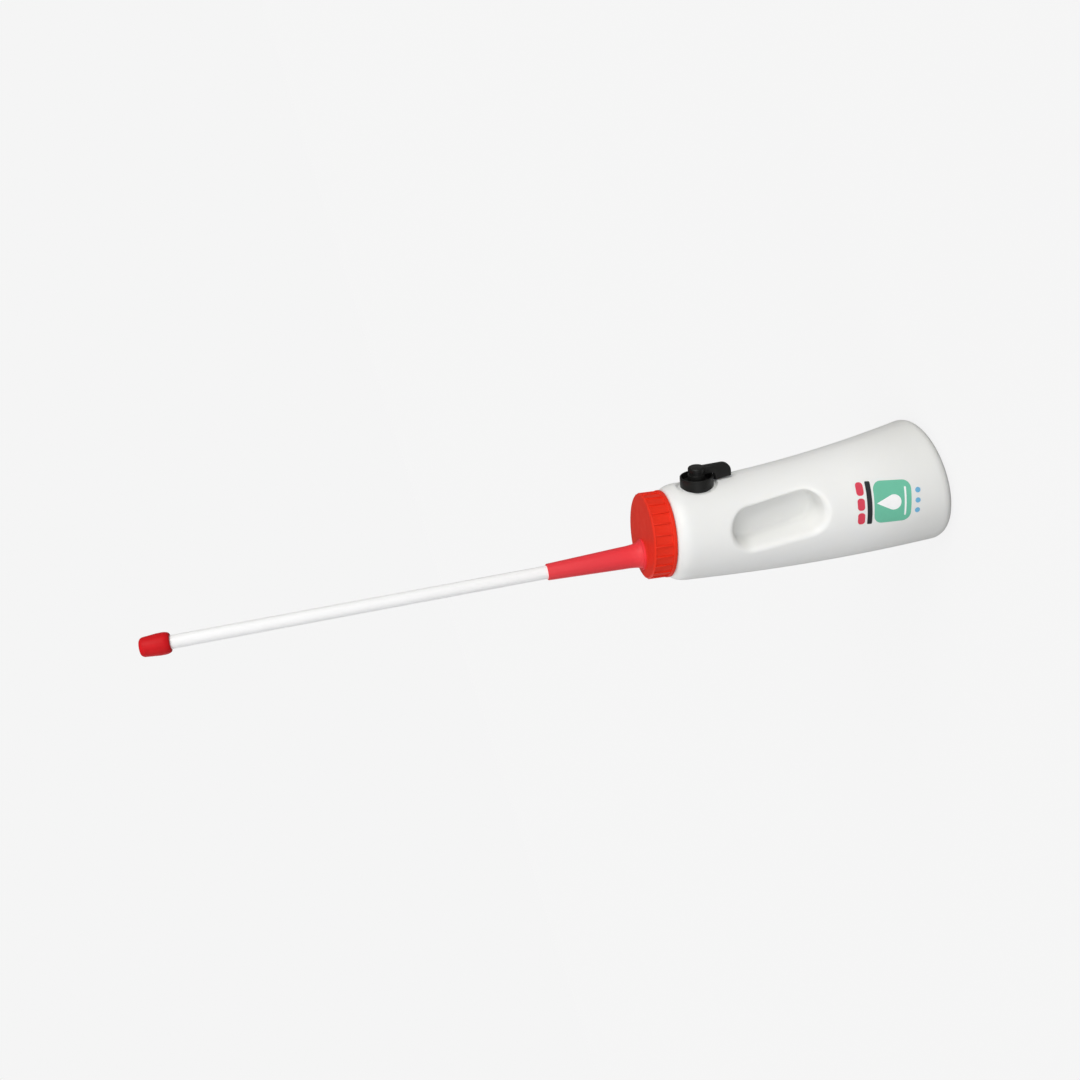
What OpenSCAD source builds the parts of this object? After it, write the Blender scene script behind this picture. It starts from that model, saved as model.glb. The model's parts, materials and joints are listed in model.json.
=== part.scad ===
// Livestock drencher: a curved bottle with finger recesses, a screw cap
// with an off-centre spout, a rigid probe tube with a soft tip, and a rotary air valve.
// It stands on its flat base, centred on the origin. +Z is up and the valve is on +X.

/* [Bottle] */
// Diameter of the bottle at its base
base_d = 126.6; // [118:0.2:136]
// Diameter of the bottle just behind its shoulder
shoulder_d = 96; // [92:0.5:102]
// Length of the bottle body along its curved axis, from base to shoulder
body_len = 272; // [256:1:300]
// Angle between the base's axis and the neck's axis
bend_angle = 11; // [5:0.5:14]
// Power of the flare from shoulder to base, where 1 is a straight cone
flare_power = 1.3; // [1:0.05:1.8]
// Wall thickness of the bottle
bottle_wall = 2.2; // [1.6:0.1:2.8]
// Radius of the rounded edge round the base
base_edge_r = 12; // [8:0.5:15]
// Height of the rounded shoulder between body and neck
shoulder_h = 5.2; // [4:0.2:7]
// Distance that the shoulder curves in before its flat
shoulder_in = 7.4; // [6:0.1:8.4]
// Distance before the end of the body at which the shoulder starts to curve
shoulder_back = 4; // [2:0.2:6]

/* [Grip recess] */
// Distance from the shoulder to the recess's end near the neck, at its end radius's centre
recess_near = 69; // [62:1:76]
// Distance from the shoulder to the recess's other end, at its end radius's centre
recess_far = 124; // [114:1:136]
// Offset of the near end toward the valve side
recess_near_rise = 12.5; // [6:0.5:16]
// Offset of the far end toward the valve side
recess_far_rise = 19; // [12:0.5:22]
// End radius of the recess at its floor
recess_floor_r = 17; // [13:0.5:18]
// Widening of the recess's wall from its floor to its mouth
recess_draft = 5; // [2:0.5:7]
// Distance from the mid-plane to the recess's floor
recess_floor_y = 22; // [18:0.5:30]

/* [Neck and thread] */
// Outside diameter of the neck under its thread
neck_d = 73.2; // [70:0.2:75]
// Wall thickness of the neck
neck_wall = 3; // [2.4:0.1:3.6]
// Height of the neck above the shoulder's flat
neck_h = 18; // [17:0.5:22]
// Rise of the thread in one turn
thread_pitch = 5; // [4.6:0.1:6]
// Turns of thread on the neck and in the cap
thread_turns = 1.5; // [1.1:0.1:1.6]
// Height of the thread's ridge
thread_depth = 1.7; // [1.2:0.1:2]
// Clearance between the thread's crest and the wall that it faces
thread_gap = 0.4; // [0.3:0.05:0.5]

/* [Cap] */
// Wall thickness of the cap's skirt
cap_wall = 2.9; // [2.4:0.1:3.2]
// Thickness of the cap's front face
cap_face_t = 3.1; // [2:0.1:3.5]
// Radius of the rounded edge round the cap's front
cap_edge_r = 2.6; // [1.5:0.1:2.8]
// Length of the cap's plain front band
cap_front_w = 3.2; // [3:0.1:5]
// Length of the cap's plain rear rim
cap_rim_w = 3.8; // [3:0.1:6]
// How far the rear rim stands out of the skirt
cap_rim_proud = 1.7; // [1.2:0.1:2.4]
// How far the front band and the grip ribs stand out of the skirt
cap_rib_proud = 1; // [0.5:0.1:1.1]
// Width of a grip rib
cap_rib_w = 1.3; // [0.8:0.1:2]
// Number of grip ribs
cap_ribs = 24; // [12:1:36]
// Gap between the cap's rear rim and the shoulder
cap_foot_gap = 0.6; // [0.5:0.1:1.4]

/* [Spout and tube] */
// Distance from the cap's axis to the spout's axis
spout_offset = 19.6; // [18:0.1:20]
// Angle by which the spout leans away from the valve side
spout_lean = 3.2; // [0:0.1:4]
// Length of the spout from the cap's face to its small end
spout_len = 97; // [80:1:120]
// Diameter of the spout's cone near the cap
spout_root_d = 22.2; // [21:0.2:23.4]
// Diameter of the collar that seats on the cap
spout_collar_d = 30.8; // [30.4:0.2:32]
// Thickness of the spout's wall at its small end
spout_lip_wall = 1.7; // [1.3:0.1:2.2]
// Depth of the tube's socket in the spout
spout_socket = 55; // [45:1:65]
// Outside diameter of the probe tube
tube_d = 13; // [12:0.1:13.6]
// Bore of the probe tube
tube_bore = 9; // [7.5:0.1:9.6]
// Length of bare tube between the spout and the tip
tube_shown_len = 360; // [300:5:420]

/* [Tip] */
// Largest diameter of the soft tip
tip_d = 21.2; // [20:0.2:25]
// Diameter of the tip's blunt front end
tip_front_d = 18; // [17:0.2:19.6]
// Length of the tip
tip_len = 28; // [27:0.5:36]
// Depth to which the tube goes into the tip
tip_socket = 21; // [17:0.5:23]
// Diameter of the tip's outlet
tip_outlet_d = 8; // [6:0.2:8.8]

/* [Air valve] */
// Distance from the shoulder back to the valve's axis, along the neck's axis
valve_back = 30.4; // [29:0.2:34]
// Lean of the valve's axis toward the neck
valve_lean = 3.3; // [0:0.1:5]
// Depth of the valve's flat pad below the top of the bottle
pad_sink = 4.3; // [3.4:0.1:4.6]
// Outside diameter of the valve's cup
cup_d = 32.6; // [31:0.2:35]
// Height of the cup from its seat to its rim
cup_h = 11.3; // [10.4:0.1:12.4]
// Wall thickness of the cup
cup_wall = 1.6; // [1.2:0.1:2]
// Outside diameter of the valve's hollow stem
stem_d = 21; // [20.4:0.1:22]
// Length of the paddle from the valve's axis to its end
paddle_len = 35.2; // [30:0.2:38]
// Thickness of the paddle
paddle_t = 6.4; // [5:0.2:8]
// Height of the paddle's top above the cup's rim
paddle_rise = 9.4; // [8.6:0.1:11]
// How far the paddle's outer part hangs below the cup's rim
paddle_drop = 4.6; // [2:0.1:4.8]
// Diameter of the round button over the hub
button_d = 16.2; // [15.6:0.1:18]
// Diameter of the slow air port
port_slow_d = 3; // [2:0.1:3.4]
// Diameter of the fast air port
port_fast_d = 4.2; // [3.5:0.1:4.4]

/* [Breather tube] */
// Outside diameter of the breather tube
breather_d = 9; // [8.4:0.1:11]
// Bore of the breather tube
breather_bore = 6.2; // [6:0.1:6.8]
// Distance from the base to the breather tube's open end
breather_clear = 26; // [20:1:50]

/* [Hidden] */
$fn = 64;

// Colours of the moulded pieces
natural_white = [0.91, 0.91, 0.88];
cap_red = [0.82, 0.11, 0.10];
spout_red = [0.84, 0.14, 0.17];
tube_white = [0.95, 0.95, 0.95];
valve_black = [0.06, 0.06, 0.06];
seal_grey = [0.25, 0.25, 0.26];
steel_grey = [0.70, 0.70, 0.72];

// One overrun serves all cuts, and one running clearance all loose fits
over = 1;
fit_gap = 0.05;
face_gap = 0.05;
sink = 0.6;

// Sides of each lock nut
nut_sides = 6;

// Bottle: points round each ring, rings along the body, and steps of each rounded edge
ring_sides = 48;
body_rings = 18;
edge_steps = 6;
recess_sides = 40;
bend_r = body_len / (bend_angle * PI / 180);

// Neck frame: heights above the end of the body, along the neck's own axis
neck_r = neck_d / 2;
neck_bore_r = neck_r - neck_wall;
mouth_z = shoulder_h + neck_h;

// Thread: ridge widths as shares of the pitch, and how the ridge fades in at its ends
thread_root_share = 0.58;
thread_crest_share = 0.22;
thread_fade_share = 0.08;
thread_least_share = 0.2;
thread_steps_per_turn = 48;
thread_foot = 5.8;
thread_z = shoulder_h + thread_foot;

// Cap: every radius is built up from the neck's
seal_t = 2;
cap_bore_r = neck_r + thread_depth + thread_gap;
cap_skirt_r = cap_bore_r + cap_wall;
cap_front_r = cap_skirt_r + cap_rib_proud;
cap_rim_r = cap_skirt_r + cap_rim_proud;
cap_rear_z = shoulder_h + cap_foot_gap;
cap_inner_z = mouth_z + seal_t + 2 * face_gap;
cap_front_z = cap_inner_z + cap_face_t;
cap_panel_top = cap_front_z - cap_front_w;
cap_panel_foot = cap_rear_z + cap_rim_w;
cap_rim_edge = 0.8;
cap_rib_share = 0.9;
seal_in_r = neck_bore_r - sink;
seal_out_r = cap_bore_r - thread_gap;

// Spout: shank through the cap, lock nut and washer under it
shank_d = 19;
shank_r = shank_d / 2;
spout_nut_t = 4.4;
spout_washer_t = 1.2;
spout_nut_rim = 3;
spout_nut_r = shank_r + spout_nut_rim;
shank_len = cap_face_t + spout_washer_t + spout_nut_t + sink;
collar_t = 2.2;
collar_edge = 0.6;
cone_start = collar_t / 2;
flare_r = 3.6;
flare_len = 20;
spout_end_r = tube_d / 2 + spout_lip_wall;
socket_r = tube_d / 2 + fit_gap;
ring_wire_d = 1.3;
ring_seat = ring_wire_d + 2 * fit_gap;
ring_from_end = 42;

// Tube and tip, measured along the spout's axis from the cap's face
tube_start = spout_len - spout_socket;
tip_start = spout_len + tube_shown_len;
tube_end = tip_start + tip_socket;
tip_rear_lip = 2.6;
tip_round = 4.4;
tip_belly_share = 0.24;
tip_belly_end_share = 0.38;

// Air valve: heights along its own axis from the neck's axis
valve_t = body_len - valve_back;
pad_r_extra = 2.7;
pad_r = cup_d / 2 + pad_r_extra;
pad_cut_gap = 0.4;
pad_wall = 2.4;
gasket_t = 1;
gasket_inset = 0.9;
cup_r = cup_d / 2;
stem_r = stem_d / 2;
stem_wall = 1.7;
stem_gap = 0.2;
cup_floor_t = 2;
valve_nut_t = 4.5;
valve_nut_rim = 5;
valve_washer_t = 1.2;
stem_tail = 1.8;
stem_foot_t = 2;
barb_d = 5.6;
barb_bore = 3.6;
barb_len = 7;
post_r = 3.4;
post_len = 6;
port_ring_r = 6.1;
port_turn = 45;
valve_seal_t = 1;
rotor_t = 3;
rotor_gap = 0.1;
rotor_r_gap = 0.5;
rotor_web = 3.9;
hub_r_inset = 0.5;
hub_wall = 2.4;
hub_over_rim = 5.2;
vent_r = 10.4;
vent_d = 3.6;
vent_groove_w = 3;
vent_groove_h = 1.2;
rim_gap = 0.5;
rim_step = 0.9;
paddle_corner = 9;
paddle_foot_corner = 1.6;
paddle_root_share = 0.5;
button_t = 4.6;
button_edge = 2;
button_plug = 1.4;
button_plug_wall = 1.1;
screw_r = 2;
screw_head_r = 3.3;
screw_head_t = 2;
screw_slot_w = 0.8;
washer_t = 0.8;
washer_r = 4.7;
spring_wire_d = 0.6;
spring_r = 3.6;
spring_curls = 3.5;
spring_gap = 0.35;
spring_steps_per_curl = 8;
spring_wire_sides = 6;

pad_h = body_r(valve_t) - pad_sink;
pad_under_h = pad_h - pad_wall;
cup_seat_h = pad_h + gasket_t;
cup_floor_h = cup_seat_h + cup_floor_t;
cup_rim_h = cup_seat_h + cup_h;
cup_in_r = cup_r - cup_wall;
valve_nut_h = pad_under_h - valve_washer_t - valve_nut_t;
stem_end_h = valve_nut_h - stem_tail;
chamber_r = stem_r - stem_wall;
rotor_h = cup_floor_h + valve_seal_t + rotor_gap;
rotor_r = cup_in_r - rotor_r_gap;
hub_r = button_d / 2 - hub_r_inset;
hub_bore_r = hub_r - hub_wall;
hub_floor_h = rotor_h + rotor_web;
hub_top_h = cup_rim_h + hub_over_rim;
screw_top_h = hub_top_h;
washer_h = screw_top_h - screw_head_t - washer_t;
spring_foot_h = hub_floor_h + spring_gap;
spring_top_h = washer_h - spring_gap;
paddle_top_h = cup_rim_h + paddle_rise;

// Breather tube: it leaves the stem's barb, bends toward the base and runs down the bottle
breather_sides = 12;
breather_bend_r = 18;
breather_turn = 98;
breather_bend_steps = 10;
breather_start_gap = 0.4;
breather_lead = 1;
breather_straight = barb_len + breather_lead;
breather_start_h = stem_end_h - breather_start_gap;
breather_run_steps = 8;

// Axis of the bottle: place and direction at distance t from the base
function lean_at(t) = bend_angle * t / body_len;
function axis_at(t) = [bend_r * (1 - cos(lean_at(t))), 0, bend_r * sin(lean_at(t))];
function side_at(t) = [cos(lean_at(t)), 0, -sin(lean_at(t))];

// Radius of the bottle's outer skin at distance t from the base
function body_r(t) =
    shoulder_d / 2 + (base_d - shoulder_d) / 2 * pow(max(0, body_len - t) / body_len, flare_power);

// One ring of points of radius r round the axis at distance t
function ring_at(t, r) =
    [for (j = [0 : ring_sides - 1])
        let (a = 360 * j / ring_sides)
        axis_at(t) + r * cos(a) * side_at(t) + [0, r * sin(a), 0]];

// Rings of a skin that lies inset inside the bottle's outer skin
function body_skin(inset) =
    let (edge = base_edge_r - inset, rise = shoulder_back + shoulder_h - inset)
    concat(
        [for (i = [0 : edge_steps])
            let (a = 90 * i / edge_steps, t = inset + edge * (1 - cos(a)))
            ring_at(t, body_r(t) - inset - edge * (1 - sin(a)))],
        [for (i = [1 : body_rings])
            let (t = base_edge_r + (body_len - shoulder_back - base_edge_r) * i / body_rings)
            ring_at(t, body_r(t) - inset)],
        [for (i = [1 : edge_steps])
            let (a = 90 * i / edge_steps)
            neck_ring(rise * sin(a) - shoulder_back,
                      body_r(body_len - shoulder_back) - inset - shoulder_in * (1 - cos(a)))]);

// A ring round the straight neck axis, z above the end of the body
function neck_ring(z, r) =
    let (up = [sin(bend_angle), 0, cos(bend_angle)])
    [for (j = [0 : ring_sides - 1])
        let (a = 360 * j / ring_sides)
        axis_at(body_len) + z * up + r * cos(a) * side_at(body_len) + [0, r * sin(a), 0]];

// Faces of a closed loft over m rings of n points
function side_faces(m, n, first = 0) =
    [for (i = [0 : m - 2], j = [0 : n - 1], k = [0, 1])
        let (a = first + i * n + j, b = first + i * n + (j + 1) % n)
        k == 0 ? [a, b + n, b] : [a, a + n, b + n]];

function loft_faces(m, n) =
    concat([[for (j = [0 : n - 1]) j]],
           [[for (j = [n - 1 : -1 : 0]) (m - 1) * n + j]],
           side_faces(m, n));

function flat_list(rings) = [for (ring = rings) for (p = ring) p];

module loft(rings) {
    polyhedron(points = flat_list(rings), faces = loft_faces(len(rings), len(rings[0])));
}

// A hollow loft, open at both ends, from an outer and an inner row of rings
module hollow_loft(outer, inner) {
    m = len(outer);
    n = len(outer[0]);
    inside = m * n;
    far_end = (m - 1) * n;
    walls = concat(
        side_faces(m, n),
        [for (f = side_faces(m, n, inside)) [f[0], f[2], f[1]]],
        [for (j = [0 : n - 1], k = [0, 1])
            let (b = (j + 1) % n)
            k == 0 ? [j, b, inside + b] : [j, inside + b, inside + j]],
        [for (j = [0 : n - 1], k = [0, 1])
            let (a = far_end + j, b = far_end + (j + 1) % n)
            k == 0 ? [a, inside + b, b] : [a, inside + a, inside + b]]);
    polyhedron(points = concat(flat_list(outer), flat_list(inner)), faces = walls);
}

// A helical ridge between two radii, with its own width at each, that fades at both ends
module thread_ridge(r_in, w_in, r_out, w_out, root_is_in) {
    n = ceil(thread_turns * thread_steps_per_turn);
    rings = [for (i = [0 : n])
        let (
            a = 360 * thread_turns * i / n,
            z = thread_pitch * thread_turns * i / n,
            near_end = min(i, n - i) / (n * thread_fade_share),
            f = thread_least_share + (1 - thread_least_share) * min(1, near_end),
            ri = root_is_in ? r_in : r_out + (r_in - r_out) * f,
            ro = root_is_in ? r_in + (r_out - r_in) * f : r_out
        )
        [for (p = [[ri, -w_in / 2], [ri, w_in / 2], [ro, w_out / 2], [ro, -w_out / 2]])
            [p[0] * cos(a), p[0] * sin(a), z + p[1]]]];
    loft(rings);
}

// Frames: the neck's, the spout's and the valve's
module at_neck() {
    translate(axis_at(body_len))
        rotate([0, bend_angle, 0])
            children();
}

module at_spout() {
    at_neck()
        translate([-spout_offset, 0, cap_front_z])
            children();
}

module at_tube() {
    at_spout()
        rotate([0, -spout_lean, 0])
            children();
}

module at_valve() {
    at_neck()
        translate([0, 0, -valve_back])
            rotate([0, 90 - valve_lean, 0])
                children();
}

// A plain ring from height z to z + h
module ring(r_out, r_in, z, h) {
    translate([0, 0, z])
        rotate_extrude()
            translate([r_in, 0])
                square([r_out - r_in, h]);
}

// A plain rod from height z to z + h
module rod(r, z, h) {
    translate([0, 0, z])
        cylinder(r = r, h = h);
}

// Finger recess on one side, grown by a wall where it bounds the inside
module recess(side, grow) {
    depth = base_d / 2 - recess_floor_y;
    hull()
        for (end = [[recess_near, recess_near_rise], [recess_far, recess_far_rise]])
            let (t = body_len - end[0], p = axis_at(t) + end[1] * side_at(t))
            translate([p[0], side * (recess_floor_y - grow), p[2]])
                rotate([-90 * side, 0, 0])
                    cylinder(r1 = recess_floor_r + grow, r2 = recess_floor_r + grow + recess_draft,
                             h = depth + grow, $fn = recess_sides);
}

module bottle_outside() {
    difference() {
        loft(body_skin(0));
        for (side = [-1, 1])
            recess(side, 0);
    }
}

// The cavity: the inner skin, less the recesses' walls and the wall under the valve's pad
module bottle_inside() {
    difference() {
        loft(body_skin(bottle_wall));
        for (side = [-1, 1])
            recess(side, bottle_wall);
        at_valve()
            rod(pad_r + pad_wall, pad_under_h, pad_wall + pad_sink + over);
    }
}

module bottle() {
    color(natural_white)
    difference() {
        union() {
            bottle_outside();
            at_neck() {
                rod(neck_r, 0, mouth_z);
                translate([0, 0, thread_z])
                    thread_ridge(neck_r - sink, thread_pitch * thread_root_share,
                                 neck_r + thread_depth, thread_pitch * thread_crest_share, true);
            }
            at_valve()
                rod(pad_r, pad_under_h, pad_wall + pad_sink);
        }
        bottle_inside();
        at_neck()
            rod(neck_bore_r, -over, mouth_z + 2 * over);
        at_valve() {
            rod(pad_r + pad_cut_gap, pad_h, pad_sink + pad_wall);
            rod(stem_r + stem_gap, pad_under_h - over, pad_wall + 2 * over);
        }
    }
}

// Arc of a rounded outer edge of radius e, centred on c, from angle a0 to a1
function edge_arc(c, e, a0, a1) =
    [for (i = [0 : edge_steps])
        let (a = a0 + (a1 - a0) * i / edge_steps)
        c + e * [cos(a), sin(a)]];

module cap_shell() {
    rotate_extrude()
        polygon(concat(
            [[0, cap_inner_z], [cap_bore_r, cap_inner_z], [cap_bore_r, cap_rear_z]],
            edge_arc([cap_rim_r - cap_rim_edge, cap_rear_z + cap_rim_edge], cap_rim_edge, -90, 0),
            edge_arc([cap_rim_r - cap_rim_edge, cap_panel_foot - cap_rim_edge], cap_rim_edge, 0, 90),
            [[cap_skirt_r, cap_panel_foot], [cap_skirt_r, cap_panel_top],
             [cap_front_r, cap_panel_top]],
            edge_arc([cap_front_r - cap_edge_r, cap_front_z - cap_edge_r], cap_edge_r, 0, 90),
            [[0, cap_front_z]]));
}

module screw_cap() {
    rib_top = cap_panel_top + sink;
    rib_foot = cap_panel_foot - sink;
    color(cap_red)
    at_neck()
    difference() {
        union() {
            cap_shell();
            for (i = [0 : cap_ribs - 1])
                rotate([0, 0, 360 * (i + 1 / 2) / cap_ribs])
                    translate([cap_skirt_r - sink, -cap_rib_w / 2, rib_foot])
                        cube([sink + cap_rib_proud * cap_rib_share, cap_rib_w, rib_top - rib_foot]);
            translate([0, 0, thread_z - thread_pitch / 2])
                thread_ridge(neck_r + thread_gap, thread_pitch * thread_crest_share,
                             cap_bore_r + sink, thread_pitch * thread_root_share, false);
        }
        translate([-spout_offset, 0, 0])
            rod(shank_r + fit_gap, cap_inner_z - over, cap_face_t + 2 * over);
    }
}

module cap_seal() {
    color(seal_grey)
    at_neck()
        ring(seal_out_r, seal_in_r, mouth_z + face_gap, seal_t);
}

// Cone of the spout along the tube's axis, with a flared root
module spout_cone() {
    root_r = spout_root_d / 2;
    rotate_extrude()
        polygon(concat(
            [[0, cone_start]],
            [for (i = [0 : edge_steps])
                let (a = 90 * i / edge_steps)
                [root_r + flare_r * (1 - sin(a)), cone_start + flare_len * (1 - cos(a))]],
            [[spout_end_r, spout_len], [0, spout_len]]));
}

module spout() {
    color(spout_red)
    difference() {
        union() {
            at_spout() {
                rotate_extrude()
                    polygon([[0, 0], [spout_collar_d / 2, 0],
                             [spout_collar_d / 2, collar_t - collar_edge],
                             [spout_collar_d / 2 - collar_edge, collar_t], [0, collar_t]]);
                rod(shank_r, -shank_len, shank_len + cone_start);
            }
            at_tube()
                spout_cone();
        }
        at_tube() {
            rod(socket_r, tube_start, spout_socket + over);
            rod(tube_bore / 2, -shank_len - 2 * over, shank_len + tube_start + 3 * over);
            translate([0, 0, spout_len - ring_from_end - ring_seat])
                ring(socket_r + ring_seat, socket_r - fit_gap, 0, 2 * ring_seat);
        }
    }
}

module spout_seal() {
    color(seal_grey)
    at_spout()
        ring(spout_nut_r, shank_r + fit_gap, -cap_face_t - spout_washer_t, spout_washer_t);
}

module spout_nut() {
    color(spout_red)
    at_spout()
        translate([0, 0, -cap_face_t - spout_washer_t - spout_nut_t])
            difference() {
                cylinder(r = spout_nut_r, h = spout_nut_t, $fn = nut_sides);
                rod(shank_r + fit_gap, -over, spout_nut_t + 2 * over);
            }
}

module tube_ring() {
    color(seal_grey)
    at_tube()
        translate([0, 0, spout_len - ring_from_end])
            rotate_extrude()
                translate([tube_d / 2 + fit_gap + ring_wire_d / 2, 0])
                    circle(d = ring_wire_d);
}

module drench_tube() {
    color(tube_white)
    at_tube()
        ring(tube_d / 2, tube_bore / 2, tube_start, tube_end - tube_start);
}

module tube_tip() {
    belly = tip_len * tip_belly_share;
    belly_end = tip_len * tip_belly_end_share;
    lip_r = tip_d / 2 - tip_rear_lip;
    front_r = tip_front_d / 2;
    color(cap_red)
    at_tube()
    translate([0, 0, tip_start])
        rotate_extrude()
            polygon(concat(
                [[tip_outlet_d / 2, tip_len], [tip_outlet_d / 2, tip_socket],
                 [socket_r, tip_socket], [socket_r, 0]],
                [for (i = [0 : edge_steps])
                    let (a = 90 * i / edge_steps)
                    [lip_r + tip_rear_lip * sin(a), belly * (1 - cos(a))]],
                [[tip_d / 2, belly_end]],
                edge_arc([front_r - tip_round, tip_len - tip_round], tip_round, 0, 90)));
}

// Cup of the valve with its air ports, hollow stem and barb
module valve_cup() {
    color(valve_black)
    at_valve()
    difference() {
        union() {
            ring(cup_r, cup_in_r, cup_seat_h, cup_h);
            rod(cup_r - cup_wall / 2, cup_seat_h, cup_floor_t);
            ring(stem_r, chamber_r, stem_end_h, cup_seat_h - stem_end_h + sink);
            rod(stem_r - stem_wall / 2, stem_end_h, stem_foot_t);
            rod(post_r, cup_seat_h - post_len, post_len + sink);
            rod(barb_d / 2, stem_end_h - barb_len, barb_len + sink);
        }
        rod(screw_r + fit_gap, cup_seat_h - post_len + over, post_len + cup_floor_t);
        rod(barb_bore / 2, stem_end_h - barb_len - over, barb_len + stem_foot_t + 2 * over);
        air_ports(cup_seat_h - over, cup_floor_t + 2 * over);
    }
}

// The slow and the fast port, each a turn to one side of the closed place
module air_ports(z, h) {
    for (port = [[port_turn, port_slow_d], [-port_turn, port_fast_d]])
        rotate([0, 0, 180 + port[0]])
            translate([port_ring_r, 0, 0])
                rod(port[1] / 2, z, h);
}

module valve_gasket() {
    color(seal_grey)
    at_valve()
        ring(cup_r - gasket_inset, stem_r + fit_gap, pad_h, gasket_t);
}

module valve_washer() {
    color(tube_white)
    at_valve()
        ring(stem_r + valve_nut_rim, stem_r + fit_gap, pad_under_h - valve_washer_t, valve_washer_t);
}

module valve_nut() {
    color(valve_black)
    at_valve()
        translate([0, 0, valve_nut_h])
            difference() {
                cylinder(r = stem_r + valve_nut_rim, h = valve_nut_t, $fn = nut_sides);
                rod(stem_r + fit_gap, -over, valve_nut_t + 2 * over);
            }
}

module valve_seal() {
    color(seal_grey)
    at_valve()
    difference() {
        ring(rotor_r, screw_r + stem_gap, cup_floor_h, valve_seal_t);
        air_ports(cup_floor_h - over, valve_seal_t + 2 * over);
    }
}

// Outline of the paddle, from the hub out over the cup's rim and down beside it
module paddle_outline() {
    root = hub_r * paddle_root_share;
    step = cup_r + rim_step;
    foot_h = cup_rim_h - paddle_drop;
    polygon(concat(
        [[root, paddle_top_h], [root, cup_rim_h + rim_gap], [step, cup_rim_h + rim_gap],
         [step, foot_h]],
        edge_arc([paddle_len - paddle_foot_corner, foot_h + paddle_foot_corner],
                 paddle_foot_corner, -90, 0),
        edge_arc([paddle_len - paddle_corner, paddle_top_h - paddle_corner], paddle_corner, 0, 90)));
}

module valve_lever() {
    color(valve_black)
    at_valve()
    difference() {
        union() {
            rod(rotor_r, rotor_h, rotor_t);
            rod(hub_r, rotor_h + sink, hub_top_h - rotor_h - sink);
            translate([0, paddle_t / 2, 0])
                rotate([90, 0, 0])
                    linear_extrude(paddle_t)
                        paddle_outline();
        }
        rod(hub_bore_r, hub_floor_h, paddle_top_h - hub_floor_h + over);
        rod(button_d / 2 + rim_gap, hub_top_h, paddle_top_h - hub_top_h + over);
        rod(screw_r + fit_gap, rotor_h - over, rotor_web + 2 * over);
        translate([-vent_r, 0, 0])
            rod(vent_d / 2, rotor_h - over, rotor_t + 2 * over);
        translate([-vent_r, -vent_groove_w / 2, rotor_h - over])
            cube([vent_r - port_ring_r + port_fast_d / 2, vent_groove_w, vent_groove_h + over]);
    }
}

// A round wire wound up in a helix
module valve_spring() {
    steps = ceil(spring_steps_per_curl * spring_curls);
    rise = spring_top_h - spring_foot_h - spring_wire_d;
    slope = atan2(rise / spring_curls, 2 * PI * spring_r);
    rings = [for (i = [0 : steps])
        let (
            a = 360 * spring_curls * i / steps,
            out = [cos(a), sin(a), 0],
            up = [sin(a) * sin(slope), -cos(a) * sin(slope), cos(slope)],
            c = spring_r * out + [0, 0, spring_foot_h + spring_wire_d / 2 + rise * i / steps]
        )
        [for (j = [0 : spring_wire_sides - 1])
            let (b = -360 * j / spring_wire_sides)
            c + spring_wire_d / 2 * (cos(b) * out + sin(b) * up)]];
    echo(spring_gap_between_curls = rise / spring_curls * cos(slope) - spring_wire_d);
    color(steel_grey)
    at_valve()
        loft(rings);
}

module spring_washer() {
    color(steel_grey)
    at_valve()
        ring(washer_r, screw_r + fit_gap, washer_h, washer_t);
}

module pivot_screw() {
    foot_h = cup_seat_h - post_len + 2 * over;
    color(steel_grey)
    at_valve() {
        difference() {
            union() {
                rod(screw_head_r, screw_top_h - screw_head_t, screw_head_t);
                rod(screw_r, foot_h, screw_top_h - screw_head_t - foot_h + sink);
            }
            for (turn = [0, 90])
                rotate([0, 0, turn])
                    translate([-screw_r, -screw_slot_w / 2, screw_top_h - screw_head_t / 2])
                        cube([2 * screw_r, screw_slot_w, screw_head_t]);
        }
    }
}

module pivot_button() {
    r = button_d / 2;
    plug_r = hub_bore_r - fit_gap;
    color(valve_black)
    at_valve()
        translate([0, 0, hub_top_h])
            rotate_extrude()
                polygon(concat(
                    [[0, button_plug], [plug_r - button_plug_wall, button_plug],
                     [plug_r - button_plug_wall, -button_plug], [plug_r, -button_plug],
                     [plug_r, 0], [r, 0]],
                    edge_arc([r - button_edge, button_t - button_edge], button_edge, 0, 90),
                    [[0, button_t]]));
}

// Route of the breather tube in the valve's frame: [x toward the base, height, heading]
function breather_route() =
    let (
        bend_h = breather_start_h - breather_straight,
        bend_end = [breather_bend_r * (1 - cos(breather_turn)),
                    bend_h - breather_bend_r * sin(breather_turn)],
        run = body_len - valve_back - bend_end[0] - breather_clear
    )
    concat(
        [[0, breather_start_h, 0]],
        [for (i = [0 : breather_bend_steps])
            let (a = breather_turn * i / breather_bend_steps)
            [breather_bend_r * (1 - cos(a)), bend_h - breather_bend_r * sin(a), a]],
        [for (i = [1 : breather_run_steps])
            let (d = run * i / breather_run_steps)
            [bend_end[0] + d * sin(breather_turn), bend_end[1] - d * cos(breather_turn),
             breather_turn]]);

function breather_rings(r) =
    [for (p = breather_route())
        [for (j = [0 : breather_sides - 1])
            let (a = 360 * j / breather_sides)
            [p[0], 0, p[1]] + r * cos(a) * [-cos(p[2]), 0, -sin(p[2])] + [0, r * sin(a), 0]]];

module breather_tube() {
    color(tube_white)
    at_valve()
        hollow_loft(breather_rings(breather_d / 2), breather_rings(breather_bore / 2));
}

bottle();
screw_cap();
cap_seal();
spout();
spout_seal();
spout_nut();
tube_ring();
drench_tube();
tube_tip();
valve_cup();
valve_gasket();
valve_washer();
valve_nut();
valve_seal();
valve_lever();
valve_spring();
spring_washer();
pivot_screw();
pivot_button();
breather_tube();
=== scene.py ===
import json
import math

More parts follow.
